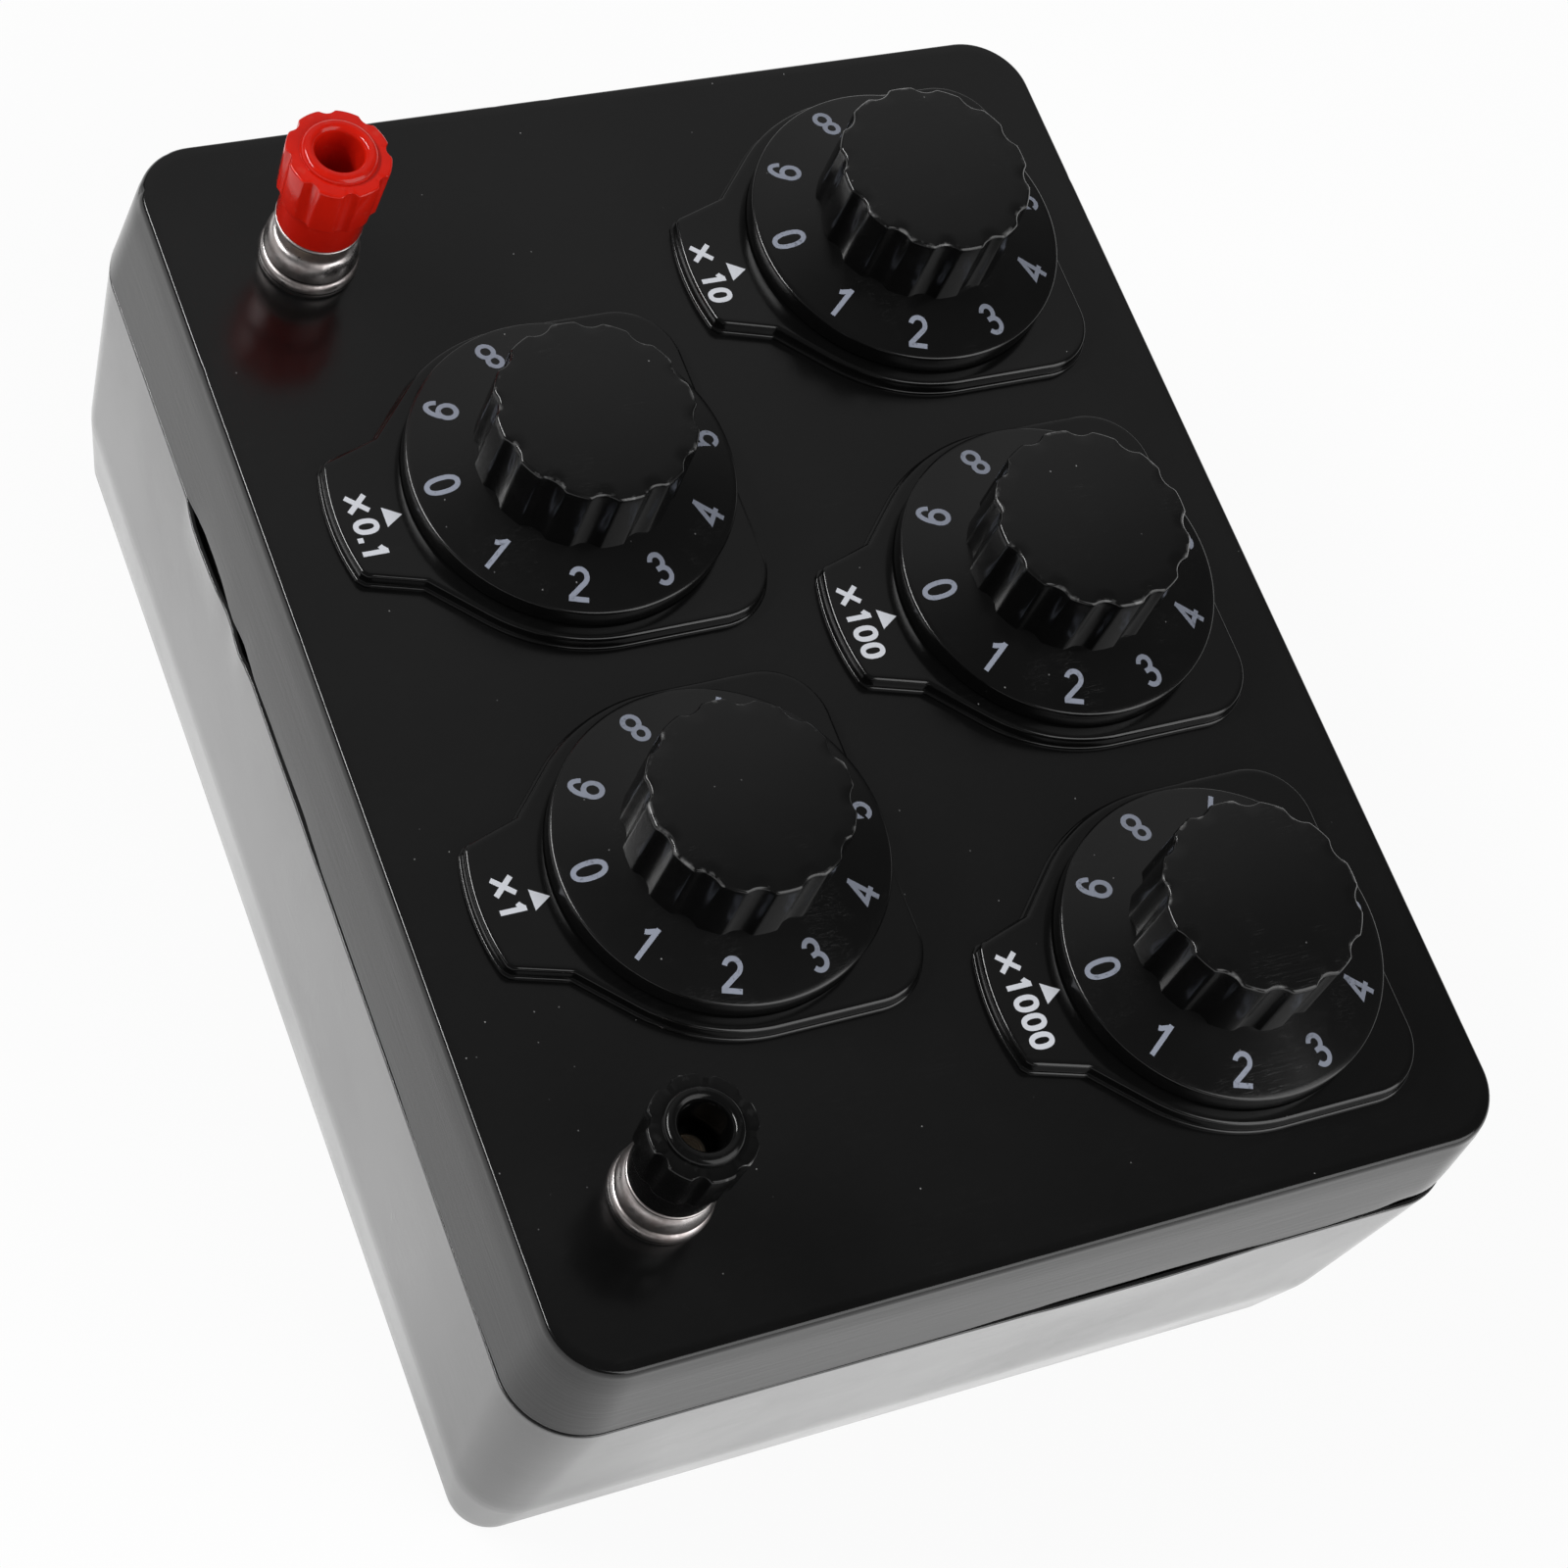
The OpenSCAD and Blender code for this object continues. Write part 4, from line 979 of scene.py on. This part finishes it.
def make_cap(name, x, y, lift):
    """A post's cap: plain skirt, ribbed head, a round ring about the mouth and the bore below."""
    corners = [
        (CAP_SKIRT_R - 0.4, 0, 0), (CAP_SKIRT_R, 0, 0.3), (CAP_SKIRT_R, CAP_SKIRT_H, 0.15),
        (RIB_LOW_R, CAP_SKIRT_H + 0.15, 0.35), (RIB_R, CAP_FACE_H, 0.35),
        (CAP_RING_MID + CAP_RING_R + 0.15, CAP_FACE_H, 0),
    ]
    profile = rounded(corners, steps=5)
    for i in range(15):
        a = math.pi * i / 14
        r, z = CAP_RING_MID + CAP_RING_R * math.cos(a), CAP_FACE_H + CAP_RING_R * math.sin(a)
        profile.append((r, z))
    ledge_low, ledge_top, seat_r = INSERT_L + 0.02, INSERT_L + LEDGE_T, INSERT_R + 0.03
    profile += [
        (CAP_MOUTH_R, CAP_FACE_H - 2), (CAP_MOUTH_R, ledge_top), (LEDGE_HOLE_R, ledge_top),
        (LEDGE_HOLE_R, ledge_low), (seat_r, ledge_low), (seat_r, 0.0),
    ]
    cap = lathe(name, profile, 240, True, cap_radius, 32)
    return stand(cap, x, y, CAP_FOOT + lift, TAU * lift / THREAD_PITCH)


def make_collar(name, x, y):
    """The chromed collar under a cap: a flange, a groove and a barrel with a round shoulder."""
    barrel_low = COLLAR_FLANGE_H + COLLAR_GROOVE_H
    bead_low, shoulder_low = 0.3, 2.5
    bead_r, shoulder_r = COLLAR_GROOVE_R + 0.05, COLLAR_R - COLLAR_ROUND_R
    bead = arc(bead_r, bead_low, COLLAR_FLANGE_R - bead_r, COLLAR_FLANGE_H - bead_low, 0, 90, 10)
    shoulder = arc(
        shoulder_r, shoulder_low, COLLAR_ROUND_R, COLLAR_TOP - shoulder_low, 0, 90, 14)
    bore = STUD_R + 0.05
    corners = [(bore, 0, 0), (COLLAR_FLANGE_R, 0, 0.15)]
    corners += [(r, z, 0) for r, z in bead]
    corners += [
        (COLLAR_GROOVE_R, COLLAR_FLANGE_H - 0.1, 0), (COLLAR_GROOVE_R, barrel_low, 0.1),
        (COLLAR_R, barrel_low, 0.2),
    ]
    corners += [(r, z, 0) for r, z in shoulder]
    corners.append((bore, COLLAR_TOP, 0))
    return stand(lathe(name, rounded(corners, closed=True, steps=9), 144), x, y, 0)


def make_washer(name, x, y, lift):
    """A post's loose washer, clear of the faces that it lies between."""
    clear, bore = 0.02, STUD_R + 0.1
    low, high = clear, WASHER_T - clear
    corners = [(bore, low, 0.1), (WASHER_R, low, 0.15), (WASHER_R, high, 0.2), (bore, high, 0.1)]
    return stand(lathe(name, rounded(corners, closed=True, steps=4), 120), x, y, COLLAR_TOP + lift)


def make_stud(name, x, y):
    """A threaded stud, the thread cut as close ridges, with tool marks turned in its end."""
    depth = 0.28
    profile = [(0.02, STUD_LOW), (STUD_R - depth, STUD_LOW), (STUD_R, STUD_LOW + depth)]
    z = STUD_LOW + 0.5
    while z < STUD_TOP - 1.1:
        profile += [(STUD_R, z), (STUD_R - depth, z + THREAD_PITCH / 2)]
        z += THREAD_PITCH
    profile += [(STUD_R, STUD_TOP - 0.6), (STUD_R, STUD_TOP - 0.35), (STUD_R - 0.35, STUD_TOP)]
    for r in (1.75, 1.4, 1.05, 0.65, 0.3):
        profile += [(r + 0.12, STUD_TOP), (r, STUD_TOP - 0.12), (r - 0.1, STUD_TOP)]
    profile.append((0.02, STUD_TOP - 0.02))
    return stand(lathe(name, profile, 64, False, smooth_angle=30), x, y, 0)


def make_insert(name, x, y, lift):
    """The metal sleeve in a cap."""
    bore = STUD_R + 0.05
    corners = [(bore, 0, 0.1), (INSERT_R, 0, 0.2), (INSERT_R, INSERT_L, 0.2), (bore, INSERT_L, 0.15)]
    return stand(lathe(name, rounded(corners, closed=True, steps=3), 72), x, y, CAP_FOOT + lift)


# Put the object together
place(make_lid(), "case", "case_black", LID_PLASTIC, "lid")
place(make_base(), "case", "case_black", BASE_PLASTIC, "base_case")
for dial, (x, y, text, pointer, start) in DIALS.items():
    plate = make_plate(dial + "_plate_moulding", x, y)
    place(plate, "case", "plate_black", PLATE_PLASTIC, dial + "_plate")
    knob = make_knob(dial + "_knob_moulding", x, y)
    place(knob, dial + "_dial", "knob_black", KNOB_PLASTIC, dial + "_knob")
    figures = make_digits(dial + "_figures", x, y)
    place(figures, dial + "_dial", "knob_black", DIGIT_INK)
    multiplier = make_label(dial + "_multiplier", x, y, text, pointer, start)
    place(multiplier, "case", "plate_black", LABEL_INK)
for post, (x, y, lift) in POSTS.items():
    colour = RED_PLASTIC if post == "red" else BLACK_CAP_PLASTIC
    cap = make_cap(post + "_cap_moulding", x, y, lift)
    place(cap, post + "_grip", "post_" + post, colour, post + "_cap")
    sleeve = make_insert(post + "_insert_sleeve", x, y, lift)
    place(sleeve, post + "_grip", "plated_brass", STUD_METAL, post + "_insert")
    washer = make_washer(post + "_washer_ring", x, y, lift)
    place(washer, post + "_clamp", "chrome", CHROME, post + "_washer")
    stud = make_stud(post + "_stud_rod", x, y)
    place(stud, "case", "plated_brass", STUD_METAL, post + "_stud")
for post, (x, y, lift) in POSTS.items():
    place(make_collar(post + "_collar", x, y), "case", "chrome", CHROME, "post_collars")

# Solids that show as they are get the finish of their slot
slot_of = {part["node"]: part["material_slot"] for part in frame["record"]["subparts"]}
for node, obj in frame["nodes"].items():
    finish = INNER.get(slot_of[node])
    if finish:
        obj.data.materials.clear()
        obj.data.materials.append(finish)


# Camera, as solved from the lid's edges in the photograph
RIGHT = Vector((0.3502672, 0.8936150, 0.2806513))
DOWN = Vector((0.8650439, -0.1937248, -0.4627847))
AHEAD = Vector((-0.3591822, 0.4048741, -0.8408717))
EYE = Vector((203.929, -219.393, 430.849 + CASE_H))
FOCAL_PX, FRAME_PX, SENSOR = 4042.39, 1600, 36.0
camera_data = bpy.data.cameras.new("camera")
camera_data.sensor_width = SENSOR
camera_data.lens = SENSOR * FOCAL_PX / FRAME_PX
camera_data.clip_start, camera_data.clip_end = 0.02, 20
camera = bpy.data.objects.new("camera", camera_data)
bpy.context.scene.collection.objects.link(camera)
turn = Matrix((RIGHT, -DOWN, -AHEAD)).transposed().to_4x4()
camera.matrix_world = Matrix.Translation(EYE * MM) @ turn
bpy.context.scene.camera = camera


# Floor, room and lights
FLOOR_HALF, FLOOR_Z, FLOOR_GLOW = 6000.0, -0.05, 0.93
# In reflections the floor carries a painted shadow round the near corner: level there, spot and reach
NEAR_SHADE, SHADE_SPOT, SHADE_REACH = 0.2, (98.0, -86.0, 0.0), 52.0
# Heights of a ray between which the white horizon fades
HORIZON_TOP = (0.0, 0.2)
# Where the soft glow overhead lies, how it spreads, and the ceiling's level without and with it
GLOW_SIDE, GLOW_SPREAD, CEILING = Vector((-0.75, 0.25, 0.6)), (0.75, 1.0), (0.08, 0.38)


def make_floor():
    """A white floor that keeps the soft shadow: mostly glowing where seen, plain to other rays."""
    signs = ((-1, -1), (1, -1), (1, 1), (-1, 1))
    corners = [(sx * FLOOR_HALF, sy * FLOOR_HALF, FLOOR_Z) for sx, sy in signs]
    floor = new_object("floor", corners, [(0, 1, 2, 3)])
    n = new_nodes("floor_white")
    n.tree.nodes.remove(n.shader)
    plain = n.add("ShaderNodeBsdfDiffuse", Color=rgb(0.9))
    glow = n.add("ShaderNodeEmission", Color=rgb(1.0), Strength=1.0)
    path = n.add("ShaderNodeLightPath").outputs
    # Painted shadow: glossy rays see the floor's glow dimmed round the near corner
    shade = n.near(n.coords(), 1.0, NEAR_SHADE, SHADE_SPOT, SHADE_REACH)
    mirrored = n.maths("MULTIPLY", path["Is Glossy Ray"], shade)
    seen = n.maths("MAXIMUM", path["Is Camera Ray"], mirrored)
    seen = n.maths("MAXIMUM", seen, path["Is Transmission Ray"])
    both = n.add("ShaderNodeMixShader", Fac=n.maths("MULTIPLY", seen, FLOOR_GLOW))
    n.give(both.inputs[1], plain.outputs["BSDF"])
    n.give(both.inputs[2], glow.outputs["Emission"])
    n.give(n.tree.nodes["Material Output"].inputs["Surface"], both.outputs["Shader"])
    floor.data.materials.append(n.block)


def make_room():
    """White round the horizon, dim overhead with a soft glow on the left, as in a light tent."""
    n = Nodes(bpy.data.worlds.new("room"))
    bpy.context.scene.world = n.block
    ray = n.add("ShaderNodeTexCoord").outputs["Generated"]
    horizon = n.remap(n.height(ray), *HORIZON_TOP, 1.0, 0.0)
    toward = n.vector_maths("DOT_PRODUCT", ray, GLOW_SIDE.normalized())["Value"]
    glow = n.remap(toward, *GLOW_SPREAD, *CEILING, ease="SMOOTHSTEP")
    level = n.maths("MAXIMUM", horizon, glow)
    n.give(n.tree.nodes["Background"].inputs["Color"], level)


# What the lamps point at
LAMP_AIM = Vector((0, 0, 50))


def make_light(name, place_mm, size_mm, power):
    """An area lamp of a width and height in millimetres, with its power in watts."""
    data = bpy.data.lights.new(name, "AREA")
    data.shape = "RECTANGLE"
    data.size, data.size_y = size_mm[0] * MM, size_mm[1] * MM
    data.energy = power
    lamp = bpy.data.objects.new(name, data)
    bpy.context.scene.collection.objects.link(lamp)
    spot = Vector(place_mm)
    turned = (LAMP_AIM - spot).to_track_quat("-Z", "Y").to_matrix().to_4x4()
    lamp.matrix_world = Matrix.Translation(spot * MM) @ turned


make_floor()
make_room()
make_light("key", (-430, -670, 800), (700, 150), 8)
make_light("fill", (760, 430, 620), (1000, 1000), 8)
bpy.context.scene.view_settings.view_transform = "Standard"
